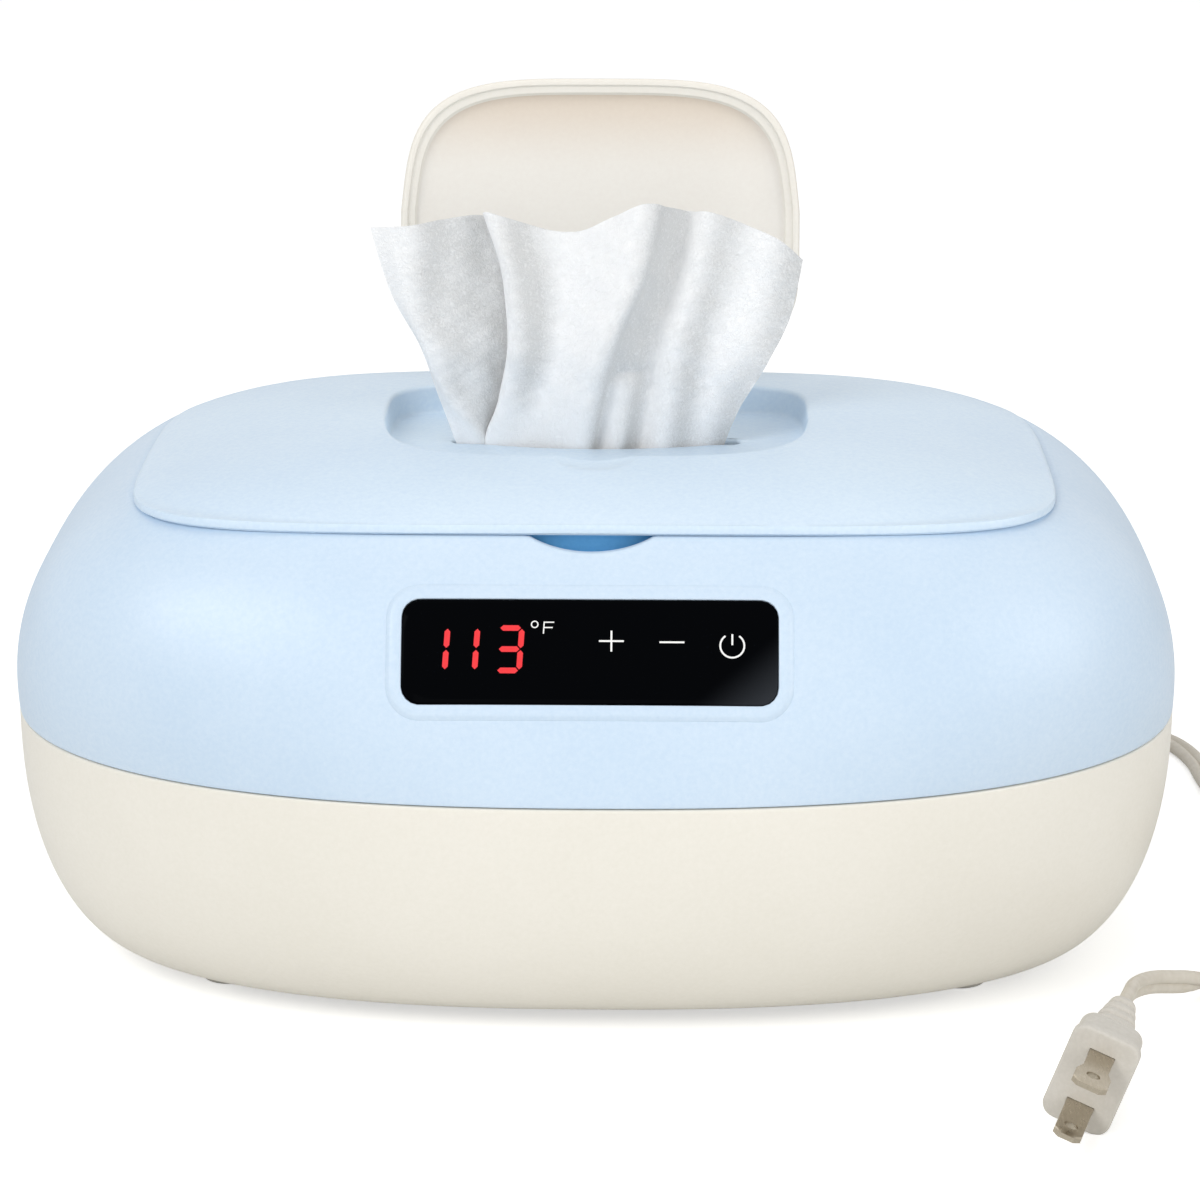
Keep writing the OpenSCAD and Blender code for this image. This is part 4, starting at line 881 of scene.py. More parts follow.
def slot_ring(out, z):
    """The slot's outline: two arcs that bow apart, with round ends."""
    c, s = np.abs(np.cos(bearing)), np.abs(np.sin(bearing))
    big = (SLOT_L ** 2 + SLOT_W ** 2) / 4 / SLOT_W
    rise = big - SLOT_W / 2
    arcs = -s * rise + np.sqrt((big + out) ** 2 - (c * rise) ** 2)
    end, straight = SLOT_END / 2 + out, (SLOT_L - SLOT_END) / 2
    past = straight * c + np.sqrt(np.maximum(0, end ** 2 - (straight * s) ** 2))
    ends = np.where(end * c <= straight * s, end / np.maximum(s, 1e-9), past)
    r = np.maximum(arcs, ends)
    return np.column_stack([r * np.cos(bearing), r * np.sin(bearing) + slot_y, np.full(AROUND, z, float)])


def dome_z(x, y):
    """Height of the dome over points, by halving."""
    low, high = np.full(np.shape(x), float(SEAM_Z)), np.full(np.shape(x), float(BODY_H))
    for _ in range(26):
        middle = (low + high) / 2
        wide, front, back, n = dome(middle)
        under = np.abs(x / wide) ** n + np.abs(y / np.where(y < 0, front, back)) ** n < 1
        low, high = np.where(under, middle, low), np.where(under, high, middle)
    return low


def lip(y):
    """How far the lid's edge stands up: fully at the front, and no more at the back."""
    return LID_RAISE * np.clip(1 - y / 60, 0, 1)


def on_dome(ring, down=0.0):
    """The same outline laid on the dome, or a little under it."""
    return at_height(ring, dome_z(ring[:, 0], ring[:, 1]) - down)


def between(a, b, share):
    """A ring part of the way from one to another."""
    return a + (b - a) * share


def lid_plan(inset=0.0):
    """The lid's outline: a little narrower than the housing there, and squarer at its front corners."""
    wide, front, back, n = (float(v) for v in dome(LID_Z))
    return loop(wide - SIDE_IN - inset, front - inset, back - inset, 5.2, n, 0, LID_Z)


lid_edge, well_edge = lid_plan(), flip_ring(FLIP_GAP + 1.5, 0)


def lid_ring(share, down=0.0, raised=0.0):
    """A ring part of the way from the lid's edge to the well, laid on the dome."""
    ring = on_dome(between(lid_edge, well_edge, share))
    level = np.maximum(ring[:, 2], LID_Z + 0.1 + 8 * share)
    return at_height(ring, level - down + raised * lip(ring[:, 1]))


def edge_ring(inset, up):
    """A ring of the lid's skirt: up is a share of its height."""
    ring = lid_plan(inset)
    return at_height(ring, LID_Z + 0.35 + up * (lip(ring[:, 1]) - 0.1))


def hem(inset, share):
    """A ring of the lip under the lid's edge, deeper behind the finger scoop. It stands inside the rim."""
    ring = lid_plan(inset)
    arch = np.sqrt(np.maximum(0, 1 - (ring[:, 0] / (SCOOP_W / 2 + 1.5)) ** 2)) * (ring[:, 1] < 0)
    return at_height(ring, LID_Z - 0.4 - share * (1.3 + 4.5 * arch))


DISH_R, DISH_H = 9, 1.4
dish_y = RECESS_Y - FLIP_L / 2 - DISH_R / 2
floor_rim = flip_ring(FLIP_GAP - 1.5, RECESS_Z)
rings = [slot_ring(out, RECESS_Z - down) for out, down in
         ((0.5, LID_T), (0.12, LID_T - 0.12), (0, LID_T - 0.5), (0, 0.7), (0.1, 0.35), (0.32, 0.12),
          (0.7, 0))]
rings += [between(slot_ring(0.7, RECESS_Z), floor_rim, k) for k in (0.3, 0.65, 1)]
rings += [flip_ring(FLIP_GAP - out, RECESS_Z + up)
          for out, up in ((1.1, 0.06), (0.7, 0.26), (0.4, 0.6), (0.25, 1.1))]
rings += [between(flip_ring(FLIP_GAP - 0.2, RECESS_Z + 1.6), on_dome(flip_ring(FLIP_GAP, 0), 1.3), k)
          for k in (0, 0.5, 1)]
rings += [on_dome(flip_ring(FLIP_GAP + out, 0), down) for out, down in
          ((0.04, 0.9), (0.16, 0.5), (0.38, 0.22), (0.7, 0.06), (1.1, 0.01), (1.5, 0))]
shares = (0.96, 0.9, 0.8, 0.7, 0.6, 0.5, 0.42, 0.34, 0.27, 0.2, 0.15, 0.11, 0.08, 0.055, 0.035)
rings += [lid_ring(k, raised=(1 - k) ** 4) for k in shares]
top = lid_ring(0.02, raised=0.98 ** 4)
rings += [top, between(edge_ring(0.25, 1), top, 0.5)]
rings += [edge_ring(inset, up) for inset, up in ((0.22, 0.86), (0.1, 0.6), (0.05, 0))]
rings += [at_height(lid_plan(inset), LID_Z + up) for inset, up in
          ((0.08, 0.22), (0.25, 0.07), (0.55, 0), (0.8, 0), (0.9, -0.38), (3.0, -0.38))]
rings += [hem(inset, share)
          for inset, share in ((3.1, 0.1), (3.6, 0.9), (3.8, 1), (4.6, 1), (4.8, 0.9), (4.8, 0))]
rings += [lid_ring(k, down=LID_T + 0.3) for k in (0.16, 0.22, 0.3, 0.45, 0.6, 0.75, 0.9)]
rings += [on_dome(flip_ring(FLIP_GAP + LID_T + 0.6, 0), LID_T + 2),
          flip_ring(FLIP_GAP + LID_T, RECESS_Z - LID_T + 0.8), flip_ring(FLIP_GAP - 0.4, RECESS_Z - LID_T)]
main_lid = shell("main_lid_shell", [*rings, rings[0]])

# The lid's rear: two pockets for the small lid's arms, with walls round them, and its own knuckles.
pocket_y, pocket_z = flip_y + FLIP_BARREL + 1.4, flip_z - FLIP_BARREL - ARM_GAP
pocket_half = ARM_W / 2 + ARM_GAP
cuts = [block("pocket", (x - pocket_half, recess_back - 3, pocket_z),
              (x + pocket_half, pocket_y, BODY_H + 1), 0.5) for x in (-ARM_X, ARM_X)]
# A shallow dish in front of the small lid lets a fingertip under its edge.
ball_r = (DISH_R ** 2 + DISH_H ** 2) / 2 / DISH_H
bpy.ops.mesh.primitive_uv_sphere_add(segments=128, ring_count=96, radius=ball_r * mm, location=(
    0, dish_y * mm, (float(dome_z(0.0, dish_y)) - DISH_H + ball_r) * mm))
bpy.ops.object.transform_apply(location=True, rotation=True, scale=True)
cuts.append(bpy.context.object)
cut_away(main_lid, cuts)
LID_ARM = 9
arm_profile = [(main_y, main_z + MAIN_BARREL), (main_y - 3, main_z + MAIN_BARREL + 0.25),
               (main_y - 6, main_z + MAIN_BARREL + 0.35), (main_y - LID_ARM, LID_Z + 2.2),
               (main_y - LID_ARM, LID_Z + 0.2), (main_y - 3, LID_Z - 0.1), (main_y, main_z)]
extras = []
for side in (-1, 1):
    x0, x1 = side * HINGE_X - KNUCKLE_W / 2, side * HINGE_X + KNUCKLE_W / 2
    extras.append(rod("knuckle", MAIN_BARREL, x0, x1, main_y, main_z))
    near, far = ([(x, y, z) for y, z in arm_profile] for x in (x0, x1))
    ends = [[tuple(np.mean(side_face, axis=0))] * len(arm_profile) for side_face in (near, far)]
    extras.append(shell("arm", [ends[0], near, far, ends[1]]))
    # Walls round the pocket under the dome: left, right, behind and below.
    middle, front, low = side * ARM_X, recess_back + 1.6, pocket_z - 1.4
    left, right, back = middle - pocket_half, middle + pocket_half, pocket_y + POCKET_WALL
    outer_left, outer_right = left - POCKET_WALL, right + POCKET_WALL
    for corner, opposite in (((outer_left, front, low), (left, back, FLIP_TOP - 3.2)),
                             ((right, front, low), (outer_right, back, FLIP_TOP - 3.2)),
                             ((outer_left, pocket_y, low), (outer_right, back, FLIP_TOP - 4.2)),
                             ((outer_left, front, low), (outer_right, back, pocket_z))):
        extras.append(block("wall", corner, opposite, 0.2, 1))
join([main_lid, *extras], "main_lid_shell")
# The lid's ABS is a shade paler than the housing's.
lid_abs = plastic("moulded_abs_light_blue", "#d9eaf8", "#cfe2f4")
finish(main_lid, lid_abs, "main_lid", "lid_blue", "main_lid")
# Behind the finger scoop the lid takes a deeper blue copy of its plastic: painted shade for the dim scoop.
scoop_shade_abs = plastic("moulded_abs_painted_shade_blue", "#76c2f6", "#6ab8ee")
main_lid.data.materials.append(scoop_shade_abs)
for face in main_lid.data.polygons:
    x, y, z = face.center / mm
    if abs(x) < SCOOP_W / 2 + 1.5 and y < -40 and LEDGE_Z < z < LID_Z - 0.2:
        face.material_index = 1

# ---- Tub, inner lid, gasket and hinge pins ----
# The tub is a deep white polypropylene tray whose flange hangs on the housing's ledge. The inner lid
# is a white plate under the blue one, and it presses a grey silicone gasket onto the flange.
TUB_Z, TUB_T = 32, 2
flange_top = LEDGE_Z + 1.8
tub_rings = [shrunk(tub_ring(-7, TUB_Z), k) for k in (0, 0.5, 0.96)]
tub_rings += [tub_ring(out, TUB_Z + up) for out, up in
              ((-7, 0), (-4.6, 0.35), (-3, 1), (-1.9, 2.1), (-1.2, 3.4), (-0.7, 5.4), (-0.4, 8))]
tub_rings += [tub_ring(0, z) for z in (LEDGE_Z - 14, LEDGE_Z - 5.4, LEDGE_Z - 0.9)]
tub_rings += [tub_ring(out, z) for out, z in
              ((0.3, LEDGE_Z - 0.2), (0.8, LEDGE_Z), (FLANGE_W - 0.3, LEDGE_Z), (FLANGE_W, LEDGE_Z + 0.3),
               (FLANGE_W, flange_top - 0.35), (FLANGE_W - 0.35, flange_top), (1.2 - TUB_T, flange_top),
               (0.5 - TUB_T, flange_top - 0.15), (0.1 - TUB_T, flange_top - 0.55),
               (-TUB_T, flange_top - 1.3))]
tub_rings += [tub_ring(-TUB_T - out, TUB_Z + up) for out, up in
              ((0.15, 45), (0.4, 10), (0.8, 7), (1.5, 4.9), (2.6, 3.4), (4, 2.4), (6, TUB_T))]
tub_rings += [shrunk(tub_rings[-1], k) for k in (0.96, 0.5, 0)]
tub = shell("inner_tray", tub_rings)
# Polypropylene: a little waxy and smoother than the ABS.
white_pp = plastic("white_polypropylene", "#f1f1ee", "#ecece8", grain=1.4, depth=0.015, rough=(0.3, 0.4),
                   cloud=35)
finish(tub, white_pp, "base", "tub_white", "inner_tub")

LINER_T, LINER_GAP, SKIRT_DEEP = 2.5, 0.3, 5
liner_top = RECESS_Z - LID_T - LINER_GAP
liner_z = liner_top - LINER_T
edge, skirt, skirt_z = FLANGE_W - 1.4, -TUB_T - 1, flange_top - SKIRT_DEEP
liner_rings = [tub_ring(edge - inset, z) for inset, z in
               ((0.4, liner_z), (0.1, liner_z + 0.1), (0, liner_z + 0.4), (0, liner_top - 0.4),
                (0.1, liner_top - 0.1), (0.4, liner_top))]
liner_rings += [between(tub_ring(edge - 0.4, liner_top), slot_ring(1.4, liner_top), k) for k in (0.5, 1)]
liner_rings += [slot_ring(out, z) for out, z in
                ((1.1, liner_top - 0.15), (1, liner_top - 0.5), (1, liner_z + 0.5), (1.1, liner_z + 0.15),
                 (1.4, liner_z))]
liner_rings += [between(slot_ring(1.4, liner_z), tub_ring(skirt - 2, liner_z), k) for k in (0.5, 1)]
liner_rings += [tub_ring(skirt - inset, z) for inset, z in
                ((2, skirt_z + 0.3), (1.7, skirt_z), (0.3, skirt_z), (0, skirt_z + 0.3), (0, liner_z))]
liner = shell("inner_lid", [*liner_rings, liner_rings[0]])
# The same polypropylene as the tub, a shade warmer.
liner_pp = plastic("inner_lid_polypropylene", "#efeeea", "#e9e8e3", grain=1.4, depth=0.015,
                   rough=(0.32, 0.42), cloud=35)
finish(liner, liner_pp, "main_lid", "liner_white", "main_lid_liner")

seal_out, seal_in = FLANGE_W - 1.8, -0.8
seal_low, seal_high = flange_top + LINER_GAP, liner_z - LINER_GAP
seal_rings = [tub_ring(out, z) for out, z in
              ((seal_out - 0.5, seal_low), (seal_out, seal_low + 0.5), (seal_out, seal_high - 0.7),
               (seal_out - 0.7, seal_high), (seal_in + 0.7, seal_high), (seal_in, seal_high - 0.7),
               (seal_in, seal_low + 0.5), (seal_in + 0.5, seal_low), (seal_in + 1.0, seal_low + 0.35),
               (seal_out - 1.0, seal_low + 0.35))]
seal = shell("silicone_gasket", [*seal_rings, seal_rings[0]], smooth=60)
# Silicone rubber: grey and matt, without a grain.
silicone = plastic("grey_silicone", "#c4c8cb", "#bcc0c4", grain=2.0, depth=0.01, rough=(0.45, 0.6), cloud=20)
finish(seal, silicone, "main_lid", "gasket_silicone", "lid_gasket")

PIN_R, PIN_LEFT, PIN_RIGHT = 1.75, 4.4, 5.8
pins = join([rod("pin", PIN_R, middle - knuckle_room - PIN_LEFT, middle + knuckle_room + PIN_RIGHT,
                 main_y, main_z, 0.3, 32) for middle in (-HINGE_X, HINGE_X)], "main_hinge_pins")
# Ground steel: bright, with hair lines round the rod.
ground_steel = metal("ground_steel_rod", "#c3c5c8", "#aeb0b4", rough=(0.18, 0.3), along=(1, 6, 6), line=0.9,
                     depth=0.004)
finish(pins, ground_steel, "base", "pin_steel", "main_lid_pins")

# ---- Dispensing lid ----
# A small cream ABS lid on two arms, shown thrown back. The side that faces the room is its inside: a flat
# plate in a deep double-stepped rim. It is shaped closed, then opened.
FLIP_RIM = 5
RIM_SHADOW_FROM, RIM_SHADOW_TO = 0.174, 0.196
under = FLIP_TOP - FLIP_RIM


def crowned(ring, down=0.0):
    """A ring on the closed lid's top, which falls a little towards its sides, like the dome."""
    return at_height(ring, FLIP_TOP - 0.9 * np.clip(np.abs(ring[:, 0] / (FLIP_W / 2)), 0, 1.05) ** 3.5 - down)


rounding = [crowned(flip_ring(out, 0), down)
            for out, down in ((-1.9, 0), (-1.1, 0.12), (-0.55, 0.42), (-0.15, 0.95), (0, 1.7))]
flip_rings = [crowned(shrunk(rounding[0], k)) for k in (0, 0.3, 0.6, 0.85)] + rounding
flip_rings += [flip_ring(out, under + up) for out, up in
               ((0, 1.6), (-0.05, 0.8), (-0.3, 0.3), (-0.7, 0.05), (-1.2, 0), (-1.65, 0.08), (-1.85, 0.35),
                (-1.95, 0.75), (-2.15, 0.9), (-3.1, 0.95), (-3.5, 1.1), (-3.75, 1.5), (-4.0, 2.1),
                (-4.6, 2.7), (-5.8, 3.2), (-7.6, 3.5), (-10, 3.62), (-13, 3.65))]
flip_rings += [shrunk(flip_rings[-1], k) for k in (0.9, 0.6, 0.3, 0)]
flip_parts = [shell("dispensing_lid", flip_rings)]
for x in (-ARM_X, ARM_X):
    x0, x1 = x - ARM_W / 2, x + ARM_W / 2
    flip_parts.append(rod("barrel", FLIP_BARREL, x0, x1, flip_y, flip_z))
    flip_parts.append(block("arm", (x0, recess_back - 4, flip_z - 0.4),
                            (x1, flip_y, flip_z + FLIP_BARREL), 0.4))
flip_lid = join(flip_parts, "dispensing_lid")
hinge = Matrix.Translation((0, flip_y * mm, flip_z * mm))
opening = hinge @ Matrix.Rotation(-FLIP_OPEN, 4, "X") @ hinge.inverted()
put(flip_lid, opening)
# Cream ABS as the base's, a shade paler and a touch more matt.
flip_abs = plastic("moulded_abs_ivory", "#f2eee5", "#efeae0", rough=(0.36, 0.46))
finish(flip_lid, flip_abs, "flip_lid", "flip_cream", "flip_lid")

# Inside, a painted shadow of the rim: the plate turns a little warmer and darker towards its far edge.
rim_shadow_abs = plastic("moulded_abs_ivory_painted_rim_shadow", "#f2eee6", "#efeae2", rough=(0.36, 0.46))
tree = rim_shadow_abs.node_tree
shader = next(node for node in tree.nodes if node.type == "BSDF_PRINCIPLED")
plain = shader.inputs["Base Color"].links[0].from_socket
place = add(tree, "ShaderNodeTexCoord")
height = add(tree, "ShaderNodeSeparateXYZ", {"Vector": place.outputs["Object"]})
rim_shadow_ramp = add(tree, "ShaderNodeMapRange",
             {"Value": height.outputs["Z"], "From Min": RIM_SHADOW_FROM, "From Max": RIM_SHADOW_TO},
             interpolation_type="SMOOTHSTEP")
rim_shadow_tint = add(tree, "ShaderNodeMix",
           {"Factor": rim_shadow_ramp.outputs[0], FIRST: srgb("#ffffff"), SECOND: srgb("#efe4d9")}, data_type="RGBA")
toned = add(tree, "ShaderNodeMix", {"Factor": 1.0, FIRST: plain, SECOND: rim_shadow_tint.outputs[2]},
            data_type="RGBA", blend_type="MULTIPLY")
tree.links.new(toned.outputs[2], shader.inputs["Base Color"])
flip_lid.data.materials.append(rim_shadow_abs)
# Faces of the inner plate near the rim take the painted rim shadow.
shutting, inward = opening.inverted(), opening.to_3x3() @ Vector((0, 0, -1))
for face in flip_lid.data.polygons:
    shut_z = (shutting @ face.center).z / mm - under
    if 2.3 < shut_z < 4 and face.normal.dot(inward) > 0.3:
        face.material_index = 1

reach = ARM_X + ARM_W / 2 + ARM_GAP + 1
flip_pin = rod("dispensing_lid_pin", 1.25, -reach, reach, flip_y, flip_z, 0.25, 32)
finish(flip_pin, ground_steel, "main_lid", "pin_steel", "flip_lid_pin")

# ---- Wipe ----
# The top wipe of the stack, pulled up through the slot: a moist spunlace cloth of white viscose fibres,
# half a millimetre thick, that fans out in soft pleats and stands by its own dampness. Only the part
# above the inner lid is made.
WIPE_FOOT, WIPE_TOP, WIPE_T = RECESS_Z - 8, 176.0, 0.5
ROWS, COLUMNS = 96, 260
# Above the slot the pleats deepen by a share, over some millimetres of height.
PLEAT_MIDDLE, DEEPER, DEEPER_FROM, DEEPER_OVER = 6, 0.45, 121, 40
SOFTEN = 6
levels = [WIPE_FOOT, 121.0, 132.0, 146.0, 160.0, WIPE_TOP]
# Each line is one pleat's edge or hollow from the foot up: its x at the levels, then its y.
pleats = [
    ((-30.4, -33.6, -37.1, -41.4, -48.4, -53.0), (6.8, 5.6, 3.9, 1.5, 1.0, 1.0)),
    ((-27.0, -27.6, -34.5, -39.8, -43.5, -44.5), (5.6, 4.6, 2.2, -1.0, -1.5, -2.0)),
    ((-25.6, -26.0, -28.5, -31.0, -34.0, -35.0), (6.6, 5.8, 3.8, 1.0, 1.0, 0.5)),
    ((-23.5, -24.2, -20.0, -17.6, -19.5, -23.2), (8.2, 8.0, 6.6, 4.6, 4.5, 3.6)),
    ((-23.0, -23.4, -18.8, -16.4, -18.4, -22.2), (7.2, 6.9, 5.3, 3.1, 3.0, 2.3)),
    ((-25.3, -26.4, -23.0, -20.6, -21.6, -26.2), (5.2, 4.8, 2.7, -0.3, -0.4, -0.2)),
    ((-23.0, -24.2, -20.8, -18.4, -19.4, -23.6), (4.4, 3.9, 1.3, -2.2, -2.3, -2.2)),
    ((-12.0, -14.0, -12.5, -9.5, -8.8, -9.0), (3.2, 3.6, 2.4, 0.8, 1.0, 1.0)),
    ((-3.0, -2.6, -1.2, 2.4, 8.5, 11.5), (1.0, 0.6, -1.5, -4.4, -4.6, -4.8)),
    ((-0.6, 0.6, 2.6, 6.5, 12.5, 16.5), (3.0, 3.6, 1.4, -1.6, -1.6, -1.6)),
    ((3.5, 5.6, 7.2, 10.2, 15.5, 19.5), (1.8, 1.3, 1.1, 0.8, 0.8, 0.6)),
    ((8.5, 9.8, 12.0, 14.4, 18.6, 22.6), (4.4, 4.8, 3.9, 2.6, 2.8, 2.4)),
    ((13.0, 15.5, 17.0, 18.6, 23.0, 26.5), (2.2, 1.9, 1.0, -0.2, 0.2, -0.2)),
    ((20.0, 22.0, 24.0, 27.5, 32.5, 36.0), (3.8, 4.0, 3.1, 1.8, 2.0, 1.6)),
    ((25.0, 27.0, 29.5, 34.5, 39.5, 43.0), (5.0, 4.9, 3.3, 1.0, 1.6, 1.0)),
    ((28.6, 30.3, 33.8, 40.3, 45.9, 48.6), (6.0, 6.3, 4.6, 2.2, 3.0, 2.6))]
top_edge = [(-53.0, 173.4), (-45.5, 173.2), (-36, 175.2), (-27.5, 176.8), (-21.7, 175.6), (-5.4, 172.4),
            (4, 175.4), (11.9, 178.2), (24.5, 177.5), (31.9, 175.6), (43.2, 170.6), (48.6, 166.3)]


def follow(xs, ys, at):
    """A smooth curve through points, without overshoot between the levels."""
    xs, ys = np.array(xs, float), np.array(ys, float)
    step, slopes = np.diff(xs), np.diff(ys) / np.diff(xs)
    product, total = slopes[1:] * slopes[:-1], slopes[1:] + slopes[:-1]
    inner = np.where(product > 0, 2 * product / np.where(total == 0, 1, total), 0)
    slope = np.concatenate([slopes[:1], inner, slopes[-1:]])
    at = np.clip(at, xs[0], xs[-1])
    i = np.clip(np.searchsorted(xs, at) - 1, 0, len(xs) - 2)
    h, t = step[i], (at - xs[i]) / step[i]
    return ((2 * t ** 3 - 3 * t ** 2 + 1) * ys[i] + (t ** 3 - 2 * t ** 2 + t) * h * slope[i]
            + (3 * t ** 2 - 2 * t ** 3) * ys[i + 1] + (t ** 3 - t ** 2) * h * slope[i + 1])


def wipe_row(level):
    """The pleats' line at one height, in even steps. Above the slot they open to their full depth."""
    deeper = 1 + DEEPER * ease((level - DEEPER_FROM) / DEEPER_OVER)
    line = []
    for x, y in pleats:
        across, deep = float(follow(levels, x, level)), float(follow(levels, y, level)) - 1
        line.append((across, slot_y - PLEAT_MIDDLE + deeper * deep, 0))
    line = through(line, 24)
    run, line = along(line), np.array([tuple(p)[:2] for p in line])
    even = np.linspace(0, run[-1], COLUMNS)
    return np.column_stack([np.interp(even, run, line[:, k]) for k in (0, 1)])


top_row = wipe_row(WIPE_TOP)
hem_z = follow(*zip(*top_edge), top_row[:, 0]) - 0.32 * (top_row[:, 1] - 3)
rows = []
for k in range(ROWS):
    share = k / (ROWS - 1)
    row = wipe_row(WIPE_FOOT + share * (WIPE_TOP - WIPE_FOOT))
    z = WIPE_FOOT + share * (hem_z - WIPE_FOOT)
    # Small dents and wrinkles of damp cloth, and a crease across the middle where it was folded.
    x, free = row[:, 0], np.clip((z - 122) / 12, 0, 1)
    row[:, 1] += free * (0.22 * np.sin(x * 0.55 + z * 0.21) * np.sin(z * 0.33 - x * 0.12)
                         + 0.10 * np.sin(x * 1.3 - z * 0.5 + 1.0) * np.sin(z * 0.9 + x * 0.4))
    row[:, 1] += 0.9 * np.exp(-((z - 138.4 - 0.06 * x) / 1.6) ** 2) * np.exp(-((x - 7.5) / 4.5) ** 2)
    rows.append(np.column_stack([row, z]))
bpy.ops.object.select_all(action="DESELECT")
bpy.ops.mesh.primitive_grid_add(x_subdivisions=COLUMNS - 1, y_subdivisions=ROWS - 1, size=1, calc_uvs=True)
wipe = bpy.context.object
wipe.name = "wipe_cloth"
wipe.data.vertices.foreach_set("co", (np.concatenate(rows) * mm).ravel())
wipe.data.update()
# Painted shade: cloth that turns from the light is drawn greyer, softened over a few columns.
rows = np.array(rows)
ahead = np.gradient(rows, axis=1)
steep = ahead[..., 1] / np.maximum(np.linalg.norm(ahead[..., :2], axis=2), 1e-6)
painted_shade = np.pad(np.clip((steep - 0.02) / 0.42, 0, 1), ((0, 0), (SOFTEN, SOFTEN)), mode="edge")
width = 2 * SOFTEN + 1
painted_shade = np.array([np.convolve(row, np.ones(width) / width, "valid") for row in painted_shade])
wipe.data.attributes.new("painted_shade", "FLOAT", "POINT").data.foreach_set("value", painted_shade.ravel())
wide_step = np.linalg.norm(np.diff(rows, axis=1), axis=2)
high_step = np.linalg.norm(np.diff(rows, axis=0), axis=2)
WIPE_FLAT = (float(wide_step.sum(1).max()) * mm, float(high_step.sum(0).mean()) * mm)
thick = wipe.modifiers.new("thickness", "SOLIDIFY")
thick.thickness, thick.offset = WIPE_T * mm, 0
apply_all(wipe)
bpy.ops.object.shade_smooth_by_angle(angle=math.radians(60))

# Spunlace: water jets tangle the fibres into a soft felt with short raised strands, 1 to 3 mm long and
# a few tenths wide. Damp viscose is matt, a little see-through to light, and pure white.
spunlace, tree = new_surface("damp_white_spunlace")
place = add(tree, "ShaderNodeTexCoord")
flat = add(tree, "ShaderNodeMapping", {"Vector": place.outputs["UV"],
                                       "Scale": (WIPE_FLAT[0] / mm, WIPE_FLAT[1] / mm, 1.0)})
bent = add(tree, "ShaderNodeTexNoise", {"Vector": flat.outputs[0], "Scale": 0.6, "Detail": 2.0})
moved = add(tree, "ShaderNodeVectorMath", {0: bent.outputs["Color"], 1: (2.5, 2.5, 0.0)},
            operation="MULTIPLY")
moved = add(tree, "ShaderNodeVectorMath", {0: flat.outputs[0], 1: moved.outputs[0]}, operation="ADD")
long_way = add(tree, "ShaderNodeMapping", {"Vector": moved.outputs[0], "Scale": (1.2, 3.2, 1.0)})
strands = add(tree, "ShaderNodeTexNoise", {"Vector": long_way.outputs[0], "Scale": 1.0, "Detail": 3.0,
                                           "Roughness": 0.65})
short_way = add(tree, "ShaderNodeMapping", {"Vector": moved.outputs[0], "Scale": (3.4, 1.5, 1.0)})
cross = add(tree, "ShaderNodeTexNoise", {"Vector": short_way.outputs[0], "Scale": 0.8, "Detail": 2.0})
felt = add(tree, "ShaderNodeMath", {0: strands.outputs["Fac"], 1: cross.outputs["Fac"]}, operation="ADD")
raised = add(tree, "ShaderNodeMapRange", {"Value": felt.outputs[0], "From Min": 0.75, "From Max": 1.25})
depth = add(tree, "ShaderNodeAttribute", attribute_name="painted_shade")
mottle_and_shade = add(tree, "ShaderNodeMath", {0: raised.outputs[0], 1: -0.7, 2: 1.35}, operation="MULTIPLY_ADD")
mottle_and_shade = add(tree, "ShaderNodeMath", {0: depth.outputs["Fac"], 1: mottle_and_shade.outputs[0]}, operation="MULTIPLY")
# The painted shade greys the cloth where it turns from the light, broken up by the felt's mottle.
tint = add(tree, "ShaderNodeMix",
           {"Factor": mottle_and_shade.outputs[0], FIRST: srgb("#ffffff"), SECOND: srgb("#dadad9")}, data_type="RGBA")
bump = add(tree, "ShaderNodeBump", {"Height": raised.outputs[0], "Strength": 0.7, "Distance": 0.16 * mm})
shader = add(tree, "ShaderNodeBsdfPrincipled",
             {"Base Color": tint.outputs[2], "Roughness": 0.85, "IOR": 1.4, "Specular IOR Level": 0.2,
              "Sheen Weight": 0.1, "Sheen Roughness": 0.5, "Normal": bump.outputs[0]})
add(tree, "ShaderNodeOutputMaterial", {"Surface": shader.outputs[0]})
finish(wipe, spunlace, "main_lid", "wipe_cloth", "wipe")
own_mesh(wipe)

# ---- Heater under the tub ----
# A rolled aluminium plate spreads the heat of a polyimide film heater whose etched track is glued to it,
# with a foam pad below. A brass-cased sensor and a ceramic thermal fuse lie on the film.
def patterned(name, kind, pattern, colours, relief, finish_inputs, socket="Fac", edge=None, **settings):
    """A flat material whose pattern shows in its two colours and in its relief (strength, depth in mm).
    An edge gives the levels between which the pattern's second part starts."""
    made, tree = new_surface(name)
    place = add(tree, "ShaderNodeTexCoord")
    figure = add(tree, kind, {"Vector": place.outputs["Object"], **pattern}, **settings).outputs[socket]
    if edge:
        figure = add(tree, "ShaderNodeMapRange", {"Value": figure, "From Min": edge[0],
                                                  "From Max": edge[1]}).outputs[0]
    tint = add(tree, "ShaderNodeMix", {"Factor": figure, FIRST: srgb(colours[0]), SECOND: srgb(colours[1])},
               data_type="RGBA")
    bump = add(tree, "ShaderNodeBump", {"Height": figure, "Strength": relief[0], "Distance": relief[1] * mm})
    shader = add(tree, "ShaderNodeBsdfPrincipled", {"Base Color": tint.outputs[2], "Normal": bump.outputs[0],
                                                    **finish_inputs})
    add(tree, "ShaderNodeOutputMaterial", {"Surface": shader.outputs[0]})
    return made


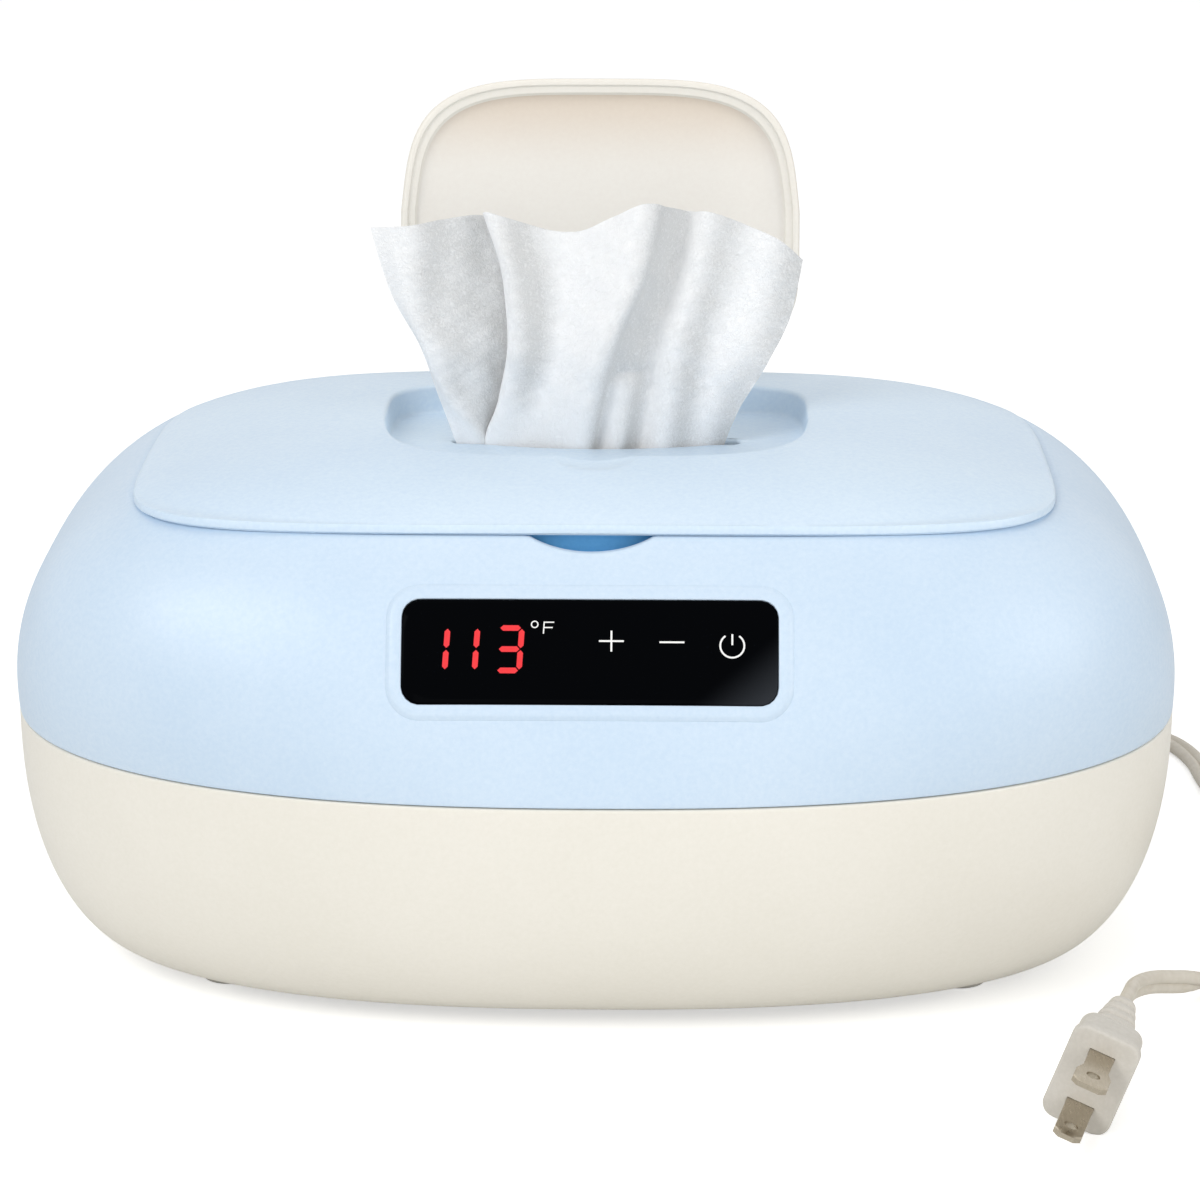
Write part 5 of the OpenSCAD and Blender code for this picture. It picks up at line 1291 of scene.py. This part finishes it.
# A wave texture at scale 1 has 20 bands in a metre.
WAVE_BANDS, HEATER_PITCH, FOAM_CELL = 20, 4.5, 0.8
inside = {
    # Rolled aluminium: dull silver with long lines from the rolls.
    "heat_plate": metal("rolled_aluminium_plate", "#c8cbce", "#b6babd", rough=(0.3, 0.45), along=(1, 9, 9),
                        line=2.0, depth=0.006),
    # Turned brass: warm, with fine rings.
    "thermal_sensor": metal("turned_brass_case", "#b3924f", "#9d7f40", line=0.7, depth=0.004),
    # Glazed ceramic: cream, smooth and shiny.
    "thermal_fuse": plastic("glazed_ceramic_fuse", "#ebe6da", "#e0dacb", grain=0.8, depth=0.006,
                            rough=(0.2, 0.3), cloud=4),
    # Polyimide film: clear amber over a dull etched foil track, 3 mm wide with 1.5 mm between its runs.
    "heater_film": patterned("polyimide_film_heater", "ShaderNodeTexWave",
                             {"Scale": 1000 / HEATER_PITCH / WAVE_BANDS, "Distortion": 0.0},
                             ("#c57f1d", "#8c6428"), (0.4, 0.05),
                             {"Roughness": 0.28, "IOR": 1.6, "Coat Weight": 0.5}, edge=(0.3, 0.38),
                             bands_direction="Y"),
    # Closed-cell silicone foam: pale grey and matt, with cells of about 0.8 mm.
    "insulation_pad": patterned("closed_cell_silicone_foam", "ShaderNodeTexVoronoi",
                                {"Scale": 1000 / FOAM_CELL}, ("#c9c8c4", "#dddcd8"), (0.6, 0.2),
                                {"Roughness": 0.9}, socket="Distance")}

# ---- Control and display electronics ----
# Two glass-fibre boards carry black moulded parts: one on posts in the base, one behind the display with
# the figures' module and three springs that feel a finger through the panel. A flat ribbon joins them.
TRACK_BLOCK, CORE_PITCH = 6.0, 1.27
# Solder mask: glossy green over copper tracks, about 3 mm apart here so that they show.
mask = patterned("green_solder_mask", "ShaderNodeTexBrick",
                 {"Scale": 1000 / TRACK_BLOCK, "Mortar Size": 0.035, "Brick Width": 1.3, "Row Height": 0.5,
                  "Mortar Smooth": 0.2},
                 ("#1c6138", "#2e8450"), (0.5, 0.035), {"Roughness": 0.25, "IOR": 1.55})
# Moulding epoxy: black, matt and slightly sandy.
epoxy = plastic("black_moulding_epoxy", "#202022", "#2a2a2c", grain=0.4, depth=0.01, rough=(0.45, 0.6),
                cloud=3)
inside["control_board"] = inside["display_board"] = mask
inside["board_parts"] = inside["digit_module"] = epoxy
# Phosphor bronze wire: coppery, with drawn lines.
inside["touch_springs"] = metal("phosphor_bronze_wire", "#b98d5e", "#a1784c", line=0.4, depth=0.003)
inside["board_screws"] = zinc_steel
# Flat ribbon: grey vinyl over parallel cores on a 1.27 mm pitch.
inside["display_ribbon"] = patterned("grey_flat_ribbon", "ShaderNodeTexWave",
                                     {"Scale": 1000 / CORE_PITCH / WAVE_BANDS, "Distortion": 0.0},
                                     ("#8f9194", "#b4b6b8"), (0.7, 0.25), {"Roughness": 0.45},
                                     bands_direction="X")
for name, material in inside.items():
    for slot in nodes[name].material_slots:
        slot.material = material
